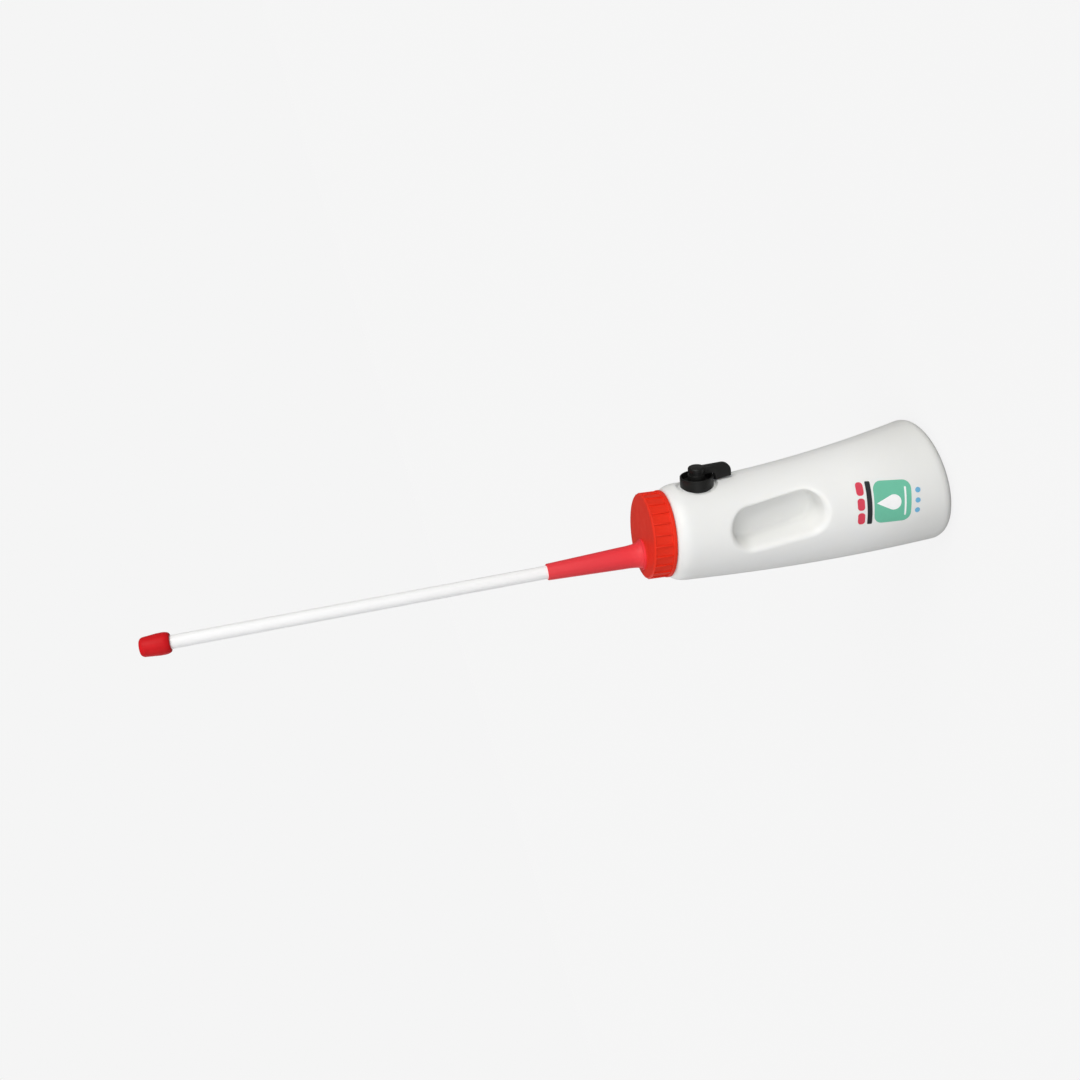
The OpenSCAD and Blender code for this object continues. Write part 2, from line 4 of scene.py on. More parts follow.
import bmesh
import bpy
from bpy.props import FloatProperty, FloatVectorProperty, IntProperty, PointerProperty
from mathutils import Matrix, Vector


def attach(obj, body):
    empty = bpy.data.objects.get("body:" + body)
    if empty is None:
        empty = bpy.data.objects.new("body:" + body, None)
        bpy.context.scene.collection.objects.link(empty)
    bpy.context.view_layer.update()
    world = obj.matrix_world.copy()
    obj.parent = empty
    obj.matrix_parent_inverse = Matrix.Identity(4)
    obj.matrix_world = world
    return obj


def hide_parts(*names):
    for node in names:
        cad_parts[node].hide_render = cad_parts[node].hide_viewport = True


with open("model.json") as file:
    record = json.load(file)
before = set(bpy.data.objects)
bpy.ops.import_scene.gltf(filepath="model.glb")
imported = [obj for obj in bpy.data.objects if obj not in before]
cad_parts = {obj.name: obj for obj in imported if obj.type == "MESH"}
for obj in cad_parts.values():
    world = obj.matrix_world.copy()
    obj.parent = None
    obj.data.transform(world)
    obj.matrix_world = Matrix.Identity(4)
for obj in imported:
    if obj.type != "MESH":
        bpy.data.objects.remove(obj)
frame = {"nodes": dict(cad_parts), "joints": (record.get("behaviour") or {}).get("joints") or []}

bl_info = {
    "name": "Livestock drencher",
    "version": (1, 0, 0),
    "blender": (4, 5, 0),
    "location": "View3D > Sidebar > Drencher",
    "description": "Builds the looks of a livestock drencher around its packed frame",
    "category": "Object",
}

MM = 0.001
FULL_TURN = 2 * math.pi
# Points closer together than this are one point, in metres
WELD = 1e-6
# Edges that turn by more than this stay sharp
CREASE = math.radians(35)
# Clearance between pieces that fit into each other
FIT = 0.05 * MM

# The neck's and the valve's axes come from the joints that turn about them
JOINTS = {joint["name"]: joint for joint in frame["joints"]}
UP = Vector(JOINTS["cap_turn"]["axis"]).normalized()
NECK = Vector(JOINTS["cap_turn"]["pos_m"])
VALVE_AXIS = Vector(JOINTS["valve_turn"]["axis"]).normalized()

# The bottle's axis is an arc that starts upright at the base and ends at the neck
LEAN = math.atan2(UP.x, UP.z)
BEND_R = NECK.z / math.sin(LEAN)
BODY_LEN = BEND_R * LEAN


def linear(hex_code):
    """Linear RGB of an sRGB hex colour."""
    parts = [int(hex_code[i:i + 2], 16) / 255 for i in (0, 2, 4)]
    return tuple(c / 12.92 if c <= 0.04045 else ((c + 0.055) / 1.055) ** 2.4 for c in parts)


def length(name, description, millimetres):
    """A length property, given in millimetres and kept in metres."""
    return FloatProperty(name=name, description=description, default=millimetres * MM,
                         unit="LENGTH", precision=5)


def count(name, description, value):
    """A whole-number property."""
    return IntProperty(name=name, description=description, default=value, min=1)


def number(name, description, value):
    """A plain number property."""
    return FloatProperty(name=name, description=description, default=value)


def fraction(name, description, value):
    """A property from 0 to 1."""
    return FloatProperty(name=name, description=description, default=value, min=0, max=1,
                         subtype="FACTOR")


def angle(name, description, degrees):
    """An angle property, given in degrees and kept in radians."""
    return FloatProperty(name=name, description=description, default=math.radians(degrees),
                         subtype="ANGLE")


def colour(name, description, hex_code):
    """A colour property from an sRGB hex value."""
    return FloatVectorProperty(name=name, description=description, size=3, subtype="COLOR",
                               min=0, max=1, default=linear(hex_code))


class BottleSizes(bpy.types.PropertyGroup):
    """Sizes of the blow-moulded bottle."""

    base_d: length("Base diameter", "Diameter of the flare at the base", 126.6)
    shoulder_d: length("Shoulder diameter", "Diameter just behind the shoulder", 96)
    flare_power: number("Flare", "Power of the flare, where 1 is a straight cone", 1.3)
    wall: length("Wall", "Wall thickness", 2.2)
    base_edge_r: length("Base edge", "Radius of the rounded edge round the base", 12)
    shoulder_h: length("Shoulder height", "Height of the rounded shoulder", 5.2)
    shoulder_in: length("Shoulder inset", "How far the shoulder curves in", 7.4)
    shoulder_back: length("Shoulder start", "Body's end to where the shoulder starts to curve", 12)
    neck_d: length("Neck diameter", "Outside diameter of the neck", 73.2)
    neck_wall: length("Neck wall", "Wall thickness of the neck", 3)
    neck_h: length("Neck height", "Height of the neck above the shoulder", 18)
    thread_pitch: length("Thread pitch", "Rise of the thread in one turn", 5)
    thread_depth: length("Thread depth", "Height of the thread's ridge", 1.7)
    thread_turns: number("Thread turns", "Turns of the thread on the neck and in the cap", 1.5)
    thread_foot: length("Thread foot", "Height of the thread's start above the shoulder", 5.8)
    recess_near: length("Recess near end", "Shoulder to the recess's near end centre", 69)
    recess_far: length("Recess far end", "Shoulder to the recess's far end centre", 124)
    recess_near_rise: length("Near end rise", "Near end's offset toward the valve", 12.5)
    recess_far_rise: length("Far end rise", "Far end's offset toward the valve", 19)
    recess_floor_y: length("Recess floor", "Mid-plane to the recess's floor", 22)
    recess_floor_r: length("Recess floor radius", "Radius of the recess at its floor", 17)
    recess_wall_r: length("Recess wall radius", "Radius of the recess at its mouth, before its lip", 19.2)
    recess_foot: length("Recess foot", "Fillet between the recess's floor and wall", 3.5)
    recess_lip: length("Recess lip", "Radius of the recess's soft lip", 6)
    seam_rise: length("Seam rise", "Height of the mould's parting line", 0.1)
    # These three set painted shade: the bottle's colour is greyed toward the base and on the recess's floor
    shade_below: length("Thin below", "Height under which the flare's wall is stretched thinner", 120)
    flare_shade: fraction("Flare's thinness", "Stretch of the wall at the base", 0.75)
    recess_shade: fraction("Recess's thinness", "Stretch of the wall on the recess's floor", 0.45)


class CapSizes(bpy.types.PropertyGroup):
    """Sizes of the screw cap."""

    bore_d: length("Bore", "Bore of the cap's skirt", 77.4)
    skirt_d: length("Skirt", "Diameter of the skirt between the ribs", 83.2)
    band_d: length("Front band", "Diameter of the plain front band", 85.2)
    rim_d: length("Rear rim", "Diameter of the rear rim", 86.6)
    rear_z: length("Rear", "Height of the rear rim above the body's end", 5.8)
    inner_z: length("Inner face", "Height of the inner face", 25.3)
    front_z: length("Front face", "Height of the front face", 28.4)
    rim_w: length("Rim width", "Length of the rear rim", 3.8)
    band_w: length("Band width", "Front face to the ribs' front ends", 1.5)
    edge_r: length("Front edge", "Radius of the rounded front edge", 2.6)
    rib_w: length("Rib width", "Width of a grip rib", 1.3)
    rib_proud: length("Rib height", "How far a rib stands out", 1.1)
    ribs: count("Ribs", "Number of grip ribs", 24)


class ProbeSizes(bpy.types.PropertyGroup):
    """Sizes of the spout, the tube and its tip."""

    offset: length("Offset", "Cap's axis to the spout's axis", 19.6)
    lean: angle("Lean", "Lean of the spout away from the valve", 3.2)
    spout_len: length("Spout length", "Cap's face to the spout's small end", 97)
    root_d: length("Root", "Diameter of the cone near the cap", 22.2)
    collar_d: length("Collar", "Diameter of the collar on the cap", 30.8)
    collar_t: length("Collar height", "Height of the collar", 2.2)
    shank_d: length("Shank", "Diameter of the shank through the cap", 19)
    shank_len: length("Shank length", "Length of the shank behind the cap's face", 9.3)
    flare: length("Flare", "How far the root flares out", 3.6)
    flare_len: length("Flare length", "Length of the flared root", 20)
    lip_wall: length("Lip", "Wall of the spout's small end", 1.7)
    socket: length("Socket", "Depth of the tube's socket", 55)
    tube_d: length("Tube", "Outside diameter of the tube", 13)
    tube_bore: length("Tube bore", "Bore of the tube", 9)
    tube_shown: length("Bare tube", "Tube between the spout and the tip", 360)
    tip_d: length("Tip", "Largest diameter of the tip", 21.2)
    tip_front_d: length("Tip front", "Diameter of the tip's blunt end", 18)
    tip_len: length("Tip length", "Length of the tip", 28)
    tip_socket: length("Tip socket", "Depth of the tube in the tip", 21)
    tip_outlet_d: length("Outlet", "Diameter of the tip's outlet", 8)


class ValveSizes(bpy.types.PropertyGroup):
    """Sizes of the air valve, with heights along its own axis from the neck's axis."""

    back: length("Back", "Shoulder to the valve's axis", 30.4)
    pad_d: length("Pad", "Diameter of the flat pad on the bottle", 38)
    pad_h: length("Pad height", "Height of the pad", 44.6)
    cup_d: length("Cup", "Outside diameter of the cup", 32.6)
    cup_wall: length("Cup wall", "Wall of the cup", 1.6)
    seat_h: length("Seat", "Height of the cup's seat", 45.6)
    floor_h: length("Cup floor", "Height of the cup's floor", 47.6)
    rim_h: length("Cup rim", "Height of the cup's rim", 56.9)
    stem_d: length("Stem", "Outside diameter of the stem", 21)
    stem_end_h: length("Stem end", "Height of the stem's inner end", 34.7)
    stem_foot_t: length("Stem foot", "Thickness of the stem's closed end", 2)
    chamber_d: length("Air chamber", "Bore of the hollow stem", 17.6)
    post_d: length("Post", "Diameter of the post that takes the screw", 6.8)
    post_len: length("Post length", "Length of the post under the cup's floor", 6)
    screw_d: length("Screw", "Diameter of the pivot screw", 4)
    barb_d: length("Barb", "Diameter of the barb under the stem", 5.6)
    barb_bore: length("Barb bore", "Bore of the barb", 3.6)
    barb_len: length("Barb length", "Length of the barb", 7)
    port_r: length("Port circle", "Valve's axis to the air ports", 6.1)
    slow_port_d: length("Slow port", "Diameter of the slow air port", 3)
    fast_port_d: length("Fast port", "Diameter of the fast air port", 4.2)
    port_turn: angle("Port turn", "Turn from closed to an open port", 45)
    rotor_d: length("Rotor", "Diameter of the rotor", 28.4)
    rotor_h: length("Rotor height", "Height of the rotor's underside", 48.7)
    rotor_t: length("Rotor thickness", "Thickness of the rotor", 3)
    vent_r: length("Vent place", "Valve's axis to the rotor's vent", 10.4)
    vent_d: length("Vent", "Diameter of the rotor's vent", 3.6)
    hub_d: length("Hub", "Diameter of the hub under its button", 14.2)
    hub_foot_d: length("Hub foot", "Diameter of the hub's stepped foot", 17.2)
    hub_foot_h: length("Hub foot top", "Height of the step on the hub", 59)
    hub_bore: length("Hub bore", "Bore of the hub", 10.4)
    hub_floor_h: length("Hub floor", "Height of the floor in the hub", 52.6)
    hub_h: length("Hub top", "Height of the hub's top", 62.1)
    paddle_len: length("Paddle length", "Valve's axis to the paddle's end", 34.8)
    paddle_t: length("Paddle thickness", "Thickness of the paddle", 6.4)
    paddle_h: length("Paddle top", "Height of the paddle's top", 66.3)
    paddle_foot_h: length("Paddle foot", "Height of the paddle's lower edge at its outer end", 51.9)
    paddle_inner_h: length("Paddle inner foot", "Height of the paddle's lower edge beside the cup", 50)
    paddle_step: length("Paddle step", "Valve's axis to the step past the cup's rim", 17.2)
    paddle_corner: length("Paddle corner", "Radius of the upper outer corner", 9)
    button_d: length("Button", "Diameter of the button", 16.2)
    button_t: length("Button height", "Height of the button", 4.6)
    button_plug: length("Button plug", "Length of the button's plug in the hub", 1.4)


class InnerSizes(bpy.types.PropertyGroup):
    """Sizes of the spring under the button and of the breather tube inside the bottle."""

    spring_d: length("Spring", "Diameter of the spring at its wire's middle", 7.2)
    spring_wire: length("Spring wire", "Diameter of the spring's wire", 0.6)
    spring_foot_h: length("Spring foot", "Height of the spring's lower end on the valve's axis", 52.9)
    spring_top_h: length("Spring top", "Height of the spring's upper end", 58.9)
    spring_turns: number("Spring turns", "Turns of the spring", 3.5)
    breather_d: length("Breather", "Outside diameter of the breather tube", 9)
    breather_bore: length("Breather bore", "Bore of the breather tube", 6.2)
    breather_h: length("Breather start", "Height of the breather's end on the barb", 34.3)
    breather_lead: length("Breather lead", "Straight length before the bend", 8)
    breather_bend_r: length("Breather bend", "Radius of the breather's bend", 18)
    breather_turn: angle("Breather turn", "Turn of the breather's bend", 98)
    breather_run: length("Breather run", "Straight length from the bend to the base end", 195.1)


class PrintSizes(bpy.types.PropertyGroup):
    """Sizes of the printed sign. Places run along the bottle from the sign's middle toward the base."""

    back: length("Back", "Shoulder to the sign's middle", 207)
    rise: length("Rise", "Sign's offset toward the valve", 28)
    panel_w: length("Panel width", "Width of the panel along the bottle", 37)
    panel_h: length("Panel height", "Height of the panel and of the bar across the bottle", 40)
    panel_r: length("Panel corner", "Radius of the panel's corners", 8)
    drop_at: length("Drop place", "Place of the middle of the drop's round end", 1)
    drop_r: length("Drop radius", "Radius of the drop's round end", 7.4)
    drop_len: length("Drop length", "Middle of the drop's round end to its point", 17)
    line_at: length("Line place", "Place of the white line", 12.6)
    line_w: length("Line width", "Width of the white line", 1.8)
    line_h: length("Line height", "Height of the white line", 28)
    line_r: length("Line corner", "Radius of the white line's corners", 0.75)
    bar_at: length("Bar place", "Place of the dark bar", -23)
    bar_w: length("Bar width", "Width of the dark bar", 5)
    bar_r: length("Bar corner", "Radius of the dark bar's corners", 1)
    dash_at: length("Dash place", "Place of the red dashes", -31.4)
    dash_gap: length("Dash spacing", "Middle of one dash to the next", 13.8)
    dash_w: length("Dash width", "Width of a dash along the bottle", 7.2)
    dash_h: length("Dash height", "Height of a dash across the bottle", 11.4)
    dash_r: length("Dash corner", "Radius of a dash's corners", 3)
    dot_at: length("Dot place", "Place of the blue dots", 25)
    dot_gap: length("Dot spacing", "Middle of one dot to the next", 10)
    dot_r: length("Dot radius", "Radius of a dot", 2.6)
    ink_lift: length("Ink lift", "Height of the ink on the bottle", 0.05)
    top_lift: length("Top ink lift", "Height of the white ink on the bottle", 0.08)
    ink_t: length("Ink thickness", "Thickness of each ink", 0.04)


class Finishes(bpy.types.PropertyGroup):
    """Colours of the moulded pieces and of the print, with a grey for painted shade on the bottle."""

    bottle: colour("Bottle", "Natural polyethylene", "F7F7F5")
    bottle_shade: colour("Bottle shade", "Cloudier patches of the bottle", "F1F1EE")
    # Grey mixed in as painted shade on the recess's floor and toward the base
    bottle_painted_shade: colour("Thin wall", "Bottle where its wall is stretched thin", "E1E1DE")
    cap: colour("Cap", "Red polypropylene", "F0331D")
    spout: colour("Spout", "Soft red polyethylene", "EC3A42")
    tube: colour("Tube", "White extruded tube", "FDFDFD")
    tip: colour("Tip", "Soft red rubber", "D8181F")
    valve: colour("Valve", "Black nylon", "161615")
    rubber: colour("Rubber", "Black seal rubber", "2A2A2B")
    natural: colour("Natural tube", "Natural polyethylene tube", "E4E6E4")
    steel: colour("Steel", "Stainless steel", "C2C3C5")
    print_teal: colour("Print teal", "Main ink of the print", "6FC3A5")
    print_dark: colour("Print dark", "Dark ink of the print", "23272B")
    print_red: colour("Print red", "Red ink of the print", "DD4257")
    print_blue: colour("Print blue", "Blue ink of the print", "6FB4DC")


class StageSettings(bpy.types.PropertyGroup):
    """Camera, lamps and background."""

    lens: FloatProperty(name="Lens", description="Focal length on a sensor 36 mm wide", default=40.27,
                        unit="CAMERA")
    camera_at: FloatVectorProperty(name="Camera", description="Place of the camera", size=3,
                                   subtype="TRANSLATION", default=(0.5619, -1.0435, 0.5178))
    camera_turn: FloatVectorProperty(
        name="Camera turn", description="Turn of the camera", size=3, subtype="EULER",
        default=(math.radians(-70.736), math.radians(71.630), math.radians(-136.003)))
    background: colour("Background", "Pale studio background", "F5F5F5")
    paper: colour("Paper", "Studio paper, as the light sees it", "989898")
    ambient: number("Ambient", "Strength of the soft light all round", 0.53)
    shine: number("Shine", "Strength of the surroundings in reflections", 0.12)
    front: number("Front", "Strength of the light from the camera's side", 0.5)
    front_tint: colour("Front tint", "Cool white of the front light", "F6F9FF")
    key: number("Key", "Strength of the light from the valve's side", 2.38)
    key_tint: colour("Key tint", "Warm white of the key light", "FFFEFB")
    low_fill: number("Low fill", "Strength of the light opposite the key", 0.66)
    low_fill_tint: colour("Low fill tint", "White of the low fill", "FFFFFF")
    back_fill: number("Back fill", "Strength of the light from behind", 0.45)
    back_fill_tint: colour("Back fill tint", "White of the back fill", "FFFFFF")
    floor_glow: number("Floor glow", "Strength of the floor's own light, which evens it out", 1.405)
    glow_share: fraction("Glow share", "Share of its own light in the floor that the camera sees", 0.65)
    floor_d: length("Floor", "Diameter of the floor", 60000)


class DrencherSettings(bpy.types.PropertyGroup):
    """Everything that a user would change."""

    bottle: PointerProperty(type=BottleSizes)
    cap: PointerProperty(type=CapSizes)
    probe: PointerProperty(type=ProbeSizes)
    valve: PointerProperty(type=ValveSizes)
    inner: PointerProperty(type=InnerSizes)
    sign: PointerProperty(type=PrintSizes)
    finish: PointerProperty(type=Finishes)
    stage: PointerProperty(type=StageSettings)


# Frames of the part

def frame_along(origin, direction):
    """Matrix with its Z along a direction that lies in the part's XZ plane."""
    z = direction.normalized()
    y = Vector((0, 1, 0))
    x = y.cross(z)
    return Matrix.Translation(origin) @ Matrix((x, y, z)).transposed().to_4x4()


def neck_frame():
    """The neck's frame: Z along the cap's axis, X toward the valve's side."""
    return frame_along(NECK, UP)


def spout_frame(settings):
    """The frame on the cap's face, under the spout."""
    cap, probe = settings.cap, settings.probe
    return neck_frame() @ Matrix.Translation((-probe.offset, 0, cap.front_z))


def tube_frame(settings):
    """The spout's frame with its Z along the leaning tube."""
    return spout_frame(settings) @ Matrix.Rotation(-settings.probe.lean, 4, "Y")


def valve_frame(settings):
    """The valve's frame: Z outward along its axis, X toward the base."""
    return frame_along(NECK - UP * settings.valve.back, VALVE_AXIS)


# Mesh helpers

def smooth_step(value):
    """A soft step from 0 to 1, level and straight at both ends."""
    p = min(max(value, 0.0), 1.0)
    return p * p * p * (p * (6 * p - 15) + 10)


def remap(value, knots):
    """Follows straight stretches between (from, to) knots."""
    for (a, b), (c, d) in zip(knots, knots[1:]):
        if value <= c:
            return b + (d - b) * (value - a) / (c - a)
    return value


def arc(x, y, rx, ry, start, end, segments):
    """Points along an ellipse round (x, y), from a start angle to an end angle in degrees."""
    turns = [math.radians(start + (end - start) * k / segments) for k in range(segments + 1)]
    return [(x + rx * math.cos(a), y + ry * math.sin(a)) for a in turns]


def rounded(corners, closed=True, segments=6):
    """Outline through (x, y, fillet) corners, each fillet drawn as an arc."""
    points = []
    for i, (x, y, fillet) in enumerate(corners):
        here = Vector((x, y))
        if fillet <= 0 or (not closed and i in (0, len(corners) - 1)):
            points.append((x, y))
            continue
        a = (Vector(corners[i - 1][:2]) - here).normalized()
        b = (Vector(corners[(i + 1) % len(corners)][:2]) - here).normalized()
        half = a.angle(b) / 2
        centre = here + (a + b).normalized() * (fillet / math.sin(half))
        start = here + a * (fillet / math.tan(half)) - centre
        end = here + b * (fillet / math.tan(half)) - centre
        sweep = math.atan2(start.x * end.y - start.y * end.x, start.dot(end))
        for k in range(segments + 1):
            points.append(tuple(centre + Matrix.Rotation(sweep * k / segments, 2) @ start))
    return points


def new_verts(bm, old):
    """Vertices that are not among the old ones."""
    return [v for v in bm.verts if v not in old]


def edges_of(verts):
    """Edges that meet at the vertices, each once and in a fixed order."""
    return list(dict.fromkeys(e for v in verts for e in v.link_edges))


def with_faces(verts):
    """Vertices together with their edges and faces."""
    return verts + edges_of(verts) + list(dict.fromkeys(f for v in verts for f in v.link_faces))


def lathe(bm, outline, matrix=Matrix(), steps=128, closed=True):
    """Spins an outline of (radius, height) points a quarter turn about the matrix's Z, mirrors it
    round, and returns its vertices."""
    old = set(bm.verts)
    verts = [bm.verts.new((r, 0, z)) for r, z in outline]
    edges = [bm.edges.new(pair) for pair in zip(verts, verts[1:])]
    if closed:
        edges.append(bm.edges.new((verts[-1], verts[0])))
    bmesh.ops.spin(bm, geom=verts + edges, cent=(0, 0, 0), axis=(0, 0, 1), dvec=(0, 0, 0),
                   angle=FULL_TURN / 4, steps=steps // 4)
    for axis in "XY":
        bmesh.ops.mirror(bm, geom=with_faces(new_verts(bm, old)), axis=axis, merge_dist=WELD)
    poles = [v for v in new_verts(bm, old) if math.hypot(v.co.x, v.co.y) < WELD / 10]
    bmesh.ops.remove_doubles(bm, verts=poles, dist=WELD)
    made = new_verts(bm, old)
    bmesh.ops.transform(bm, matrix=matrix, verts=made)
    return made


def helix(bm, outline, matrix, pitch, turns, steps_per_turn=64):
    """Winds a closed outline of (radius, height) points up a helix, and closes its ends."""
    old = set(bm.verts)
    verts = [bm.verts.new((r, 0, z)) for r, z in outline]
    edges = [bm.edges.new((v, verts[(i + 1) % len(verts)])) for i, v in enumerate(verts)]
    steps = round(turns * steps_per_turn)
    bm.faces.new(verts)
    wound = bmesh.ops.spin(bm, geom=edges, cent=(0, 0, 0), axis=(0, 0, 1),
                           dvec=(0, 0, pitch * turns / steps), angle=FULL_TURN * turns, steps=steps)
    bmesh.ops.contextual_create(
        bm, geom=[g for g in wound["geom_last"] if isinstance(g, bmesh.types.BMEdge)])
    bmesh.ops.transform(bm, matrix=matrix, verts=new_verts(bm, old))


def bore_plate(bm, x, y, r):
    """Opens a round hole at (x, y) through a flat plate whose two faces have the same grid."""
    # A face counts as flat when the Z of its normal is over this
    level = 0.9
    bm.normal_update()
    inside = []
    for face in bm.faces:
        middle = face.calc_center_median()
        if abs(face.normal.z) > level and math.hypot(middle.x - x, middle.y - y) < r:
            inside.append(face)
    bmesh.ops.delete(bm, geom=inside, context="FACES")
    rim = [e for e in bm.edges if e.is_boundary]
    for vert in {v for e in rim for v in e.verts}:
        away = math.atan2(vert.co.y - y, vert.co.x - x)
        vert.co.x, vert.co.y = x + r * math.cos(away), y + r * math.sin(away)
    bmesh.ops.bridge_loops(bm, edges=rim)


def bent_tube(bm, r, lead, bend_r, turn, run):
    """A round skin that runs down from the origin, bends toward +X and runs on. Returns its end rings."""
    sides, bend_steps = 48, 24
    ring = bmesh.ops.create_circle(bm, segments=sides, radius=r)["verts"]
    first = edges_of(ring)

    def carry(edges, vec):
        """Extrudes a ring of edges along a vector, and returns the new ring."""
        grown = bmesh.ops.extrude_edge_only(bm, edges=edges)["geom"]
        bmesh.ops.translate(bm, vec=vec, verts=[g for g in grown if isinstance(g, bmesh.types.BMVert)])
        return [g for g in grown if isinstance(g, bmesh.types.BMEdge)]

    straight = carry(first, (0, 0, -lead))
    bent = bmesh.ops.spin(bm, geom=straight, cent=(bend_r, 0, -lead), axis=(0, -1, 0), dvec=(0, 0, 0),
                          angle=turn, steps=bend_steps)["geom_last"]
    last = [g for g in bent if isinstance(g, bmesh.types.BMEdge)]
    return first, carry(last, Vector((math.sin(turn), 0, -math.cos(turn))) * run)


def add_object(name, data):
    """Puts a mesh, a lamp or a camera into the scene."""
    added = bpy.data.objects.new(name, data)
    bpy.context.scene.collection.objects.link(added)
    return added


def add_mesh(name, bm, material):
    """Puts a bmesh into the scene as an object of one material."""
    mesh = bpy.data.meshes.new(name)
    bm.to_mesh(mesh)
    bm.free()
    mesh.materials.append(material)
    return add_object(name, mesh)


def make_piece(name, bm, material, body, slot, *nodes):
    """Turns a bmesh into a smooth piece that rides on a body and stands for its CAD nodes."""
    bmesh.ops.recalc_face_normals(bm, faces=bm.faces)
    piece = add_mesh(name, bm, material)
    piece.data.shade_smooth()
    piece.data.set_sharp_from_angle(angle=CREASE)
    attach(piece, body)
    if nodes:
        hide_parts(*nodes)


# Materials

# Sockets of the Mix, Mix Shader and Math nodes share their names, so they go by number
MIX_SHARE, MIX_FLOAT_A, MIX_FLOAT_B, MIX_COLOUR_A, MIX_COLOUR_B = 0, 2, 3, 6, 7
MIXED_FLOAT, MIXED_COLOUR = 0, 2
SHADER_SHARE, SHADER_A, SHADER_B = 0, 1, 2
FACTOR_A, FACTOR_B = 0, 1
# Octaves of the cloudy tone and of the grain, and the span in which the cloud mostly lies
CLOUD_DETAIL, GRAIN_DETAIL = 3.0, 2.0
CLOUD_LOW, CLOUD_HIGH = 0.3, 0.7
# Red light goes a little further inside milky plastic than blue
SCATTER = (1.0, 0.95, 0.85)
# Real moulded grain is finer than the grains below, which are drawn coarser to show in close views


def add_node(tree, kind, inputs=None, **settings):
    """Adds a node with its settings, and gives each input a value or a link."""
    node = tree.nodes.new(kind)
    for name, value in settings.items():
        setattr(node, name, value)
    for name, value in (inputs or {}).items():
        if isinstance(value, bpy.types.NodeSocket):
            tree.links.new(value, node.inputs[name])
        else:
            node.inputs[name].default_value = value
    return node


def empty_tree(owner):
    """Node tree of a material or a world, without its default nodes."""
    owner.use_nodes = True
    owner.node_tree.nodes.clear()
    return owner.node_tree


def opaque(rgb):
    """RGB as the RGBA that a colour socket takes."""
    return (*rgb, 1.0)


def per_metre(millimetres):
    """Noise scale at which one feature is about this long."""
    return 1 / (millimetres * MM)


def moulded(name, main, patch, cloud_mm, grain_mm, grain_depth_mm, rough, rough_spread,
            stretch=(1, 1, 1), specular=0.5, subsurface=0.0, subsurface_mm=1.0, shade_tint=None):
    """A moulded surface: cloudy colour and gloss and a fine grain, with their sizes in millimetres.
    Where the mesh's shade attribute is set, a painted shade colour is mixed in, darker on the recess's
    floor and toward the base."""
    material = bpy.data.materials.new(name)
    tree = empty_tree(material)
    place = add_node(tree, "ShaderNodeTexCoord").outputs["Object"]
    along = add_node(tree, "ShaderNodeMapping", {"Vector": place, "Scale": stretch}).outputs["Vector"]
    cloud = add_node(tree, "ShaderNodeTexNoise", {
        "Vector": along, "Scale": per_metre(cloud_mm), "Detail": CLOUD_DETAIL}).outputs["Fac"]
    tone = add_node(tree, "ShaderNodeMix", {
        MIX_SHARE: cloud, MIX_COLOUR_A: opaque(main), MIX_COLOUR_B: opaque(patch)}, data_type="RGBA")
    # Painted shade: the colour is mixed toward the shade colour by the mesh's attribute
    if shade_tint:
        share = add_node(tree, "ShaderNodeAttribute", attribute_name="thinned").outputs["Fac"]
        tone = add_node(tree, "ShaderNodeMix", {
            MIX_SHARE: share, MIX_COLOUR_A: tone.outputs[MIXED_COLOUR], MIX_COLOUR_B: opaque(shade_tint)},
            data_type="RGBA")
    grain = add_node(tree, "ShaderNodeTexNoise", {
        "Vector": along, "Scale": per_metre(grain_mm), "Detail": GRAIN_DETAIL}).outputs["Fac"]
    gloss = add_node(tree, "ShaderNodeMapRange", {
        "Value": cloud, "From Min": CLOUD_LOW, "From Max": CLOUD_HIGH,
        "To Min": rough - rough_spread, "To Max": rough + rough_spread})
    bump = add_node(tree, "ShaderNodeBump", {
        "Height": grain, "Strength": 1.0, "Distance": grain_depth_mm * MM})
    surface = add_node(tree, "ShaderNodeBsdfPrincipled", {
        "Base Color": tone.outputs[MIXED_COLOUR], "Roughness": gloss.outputs["Result"],
        "Normal": bump.outputs["Normal"], "Specular IOR Level": specular,
        "Subsurface Weight": subsurface, "Subsurface Scale": subsurface_mm * MM,
        "Subsurface Radius": SCATTER})
    out = add_node(tree, "ShaderNodeOutputMaterial", {"Surface": surface.outputs["BSDF"]})
    out.is_active_output = True
    return material


def darker(rgb, factor):
    """The same hue, darker or, with a factor over 1, lighter."""
    return tuple(min(c * factor, 1.0) for c in rgb)


def natural_polyethylene(finish):
    """Blow-moulded natural HDPE: milky, satin, with long faint flow streaks and soft depth."""
    # The last colour is painted shade on the recess's floor and toward the base
    return moulded("natural_hdpe", finish.bottle, finish.bottle_shade, cloud_mm=45, grain_mm=2.5,
                   grain_depth_mm=0.004, rough=0.31, rough_spread=0.02, stretch=(1, 1, 0.4),
                   specular=0.35, subsurface=0.25, subsurface_mm=4, shade_tint=finish.bottle_painted_shade)


def red_polypropylene(finish):
    """Injection-moulded red PP: even colour, satin, with a fine spark-eroded grain."""
    return moulded("red_polypropylene", finish.cap, darker(finish.cap, 0.9), cloud_mm=12, grain_mm=0.7,
                   grain_depth_mm=0.012, rough=0.38, rough_spread=0.06, specular=0.2)


def soft_red_polyethylene(finish):
    """Injection-moulded red LDPE: a little pinker and duller than the cap, with draw lines along it."""
    return moulded("soft_red_polyethylene", finish.spout, darker(finish.spout, 0.92), cloud_mm=9,
                   grain_mm=0.8, grain_depth_mm=0.012, rough=0.42, rough_spread=0.05,
                   stretch=(1, 1, 0.2), specular=0.3)


def white_tube_plastic(finish):
    """Extruded rigid white plastic: smooth gloss with fine die lines along the tube."""
    return moulded("extruded_white_plastic", finish.tube, darker(finish.tube, 0.97), cloud_mm=6,
                   grain_mm=0.6, grain_depth_mm=0.006, rough=0.34, rough_spread=0.05,
                   stretch=(1, 1, 0.03), specular=0.2)


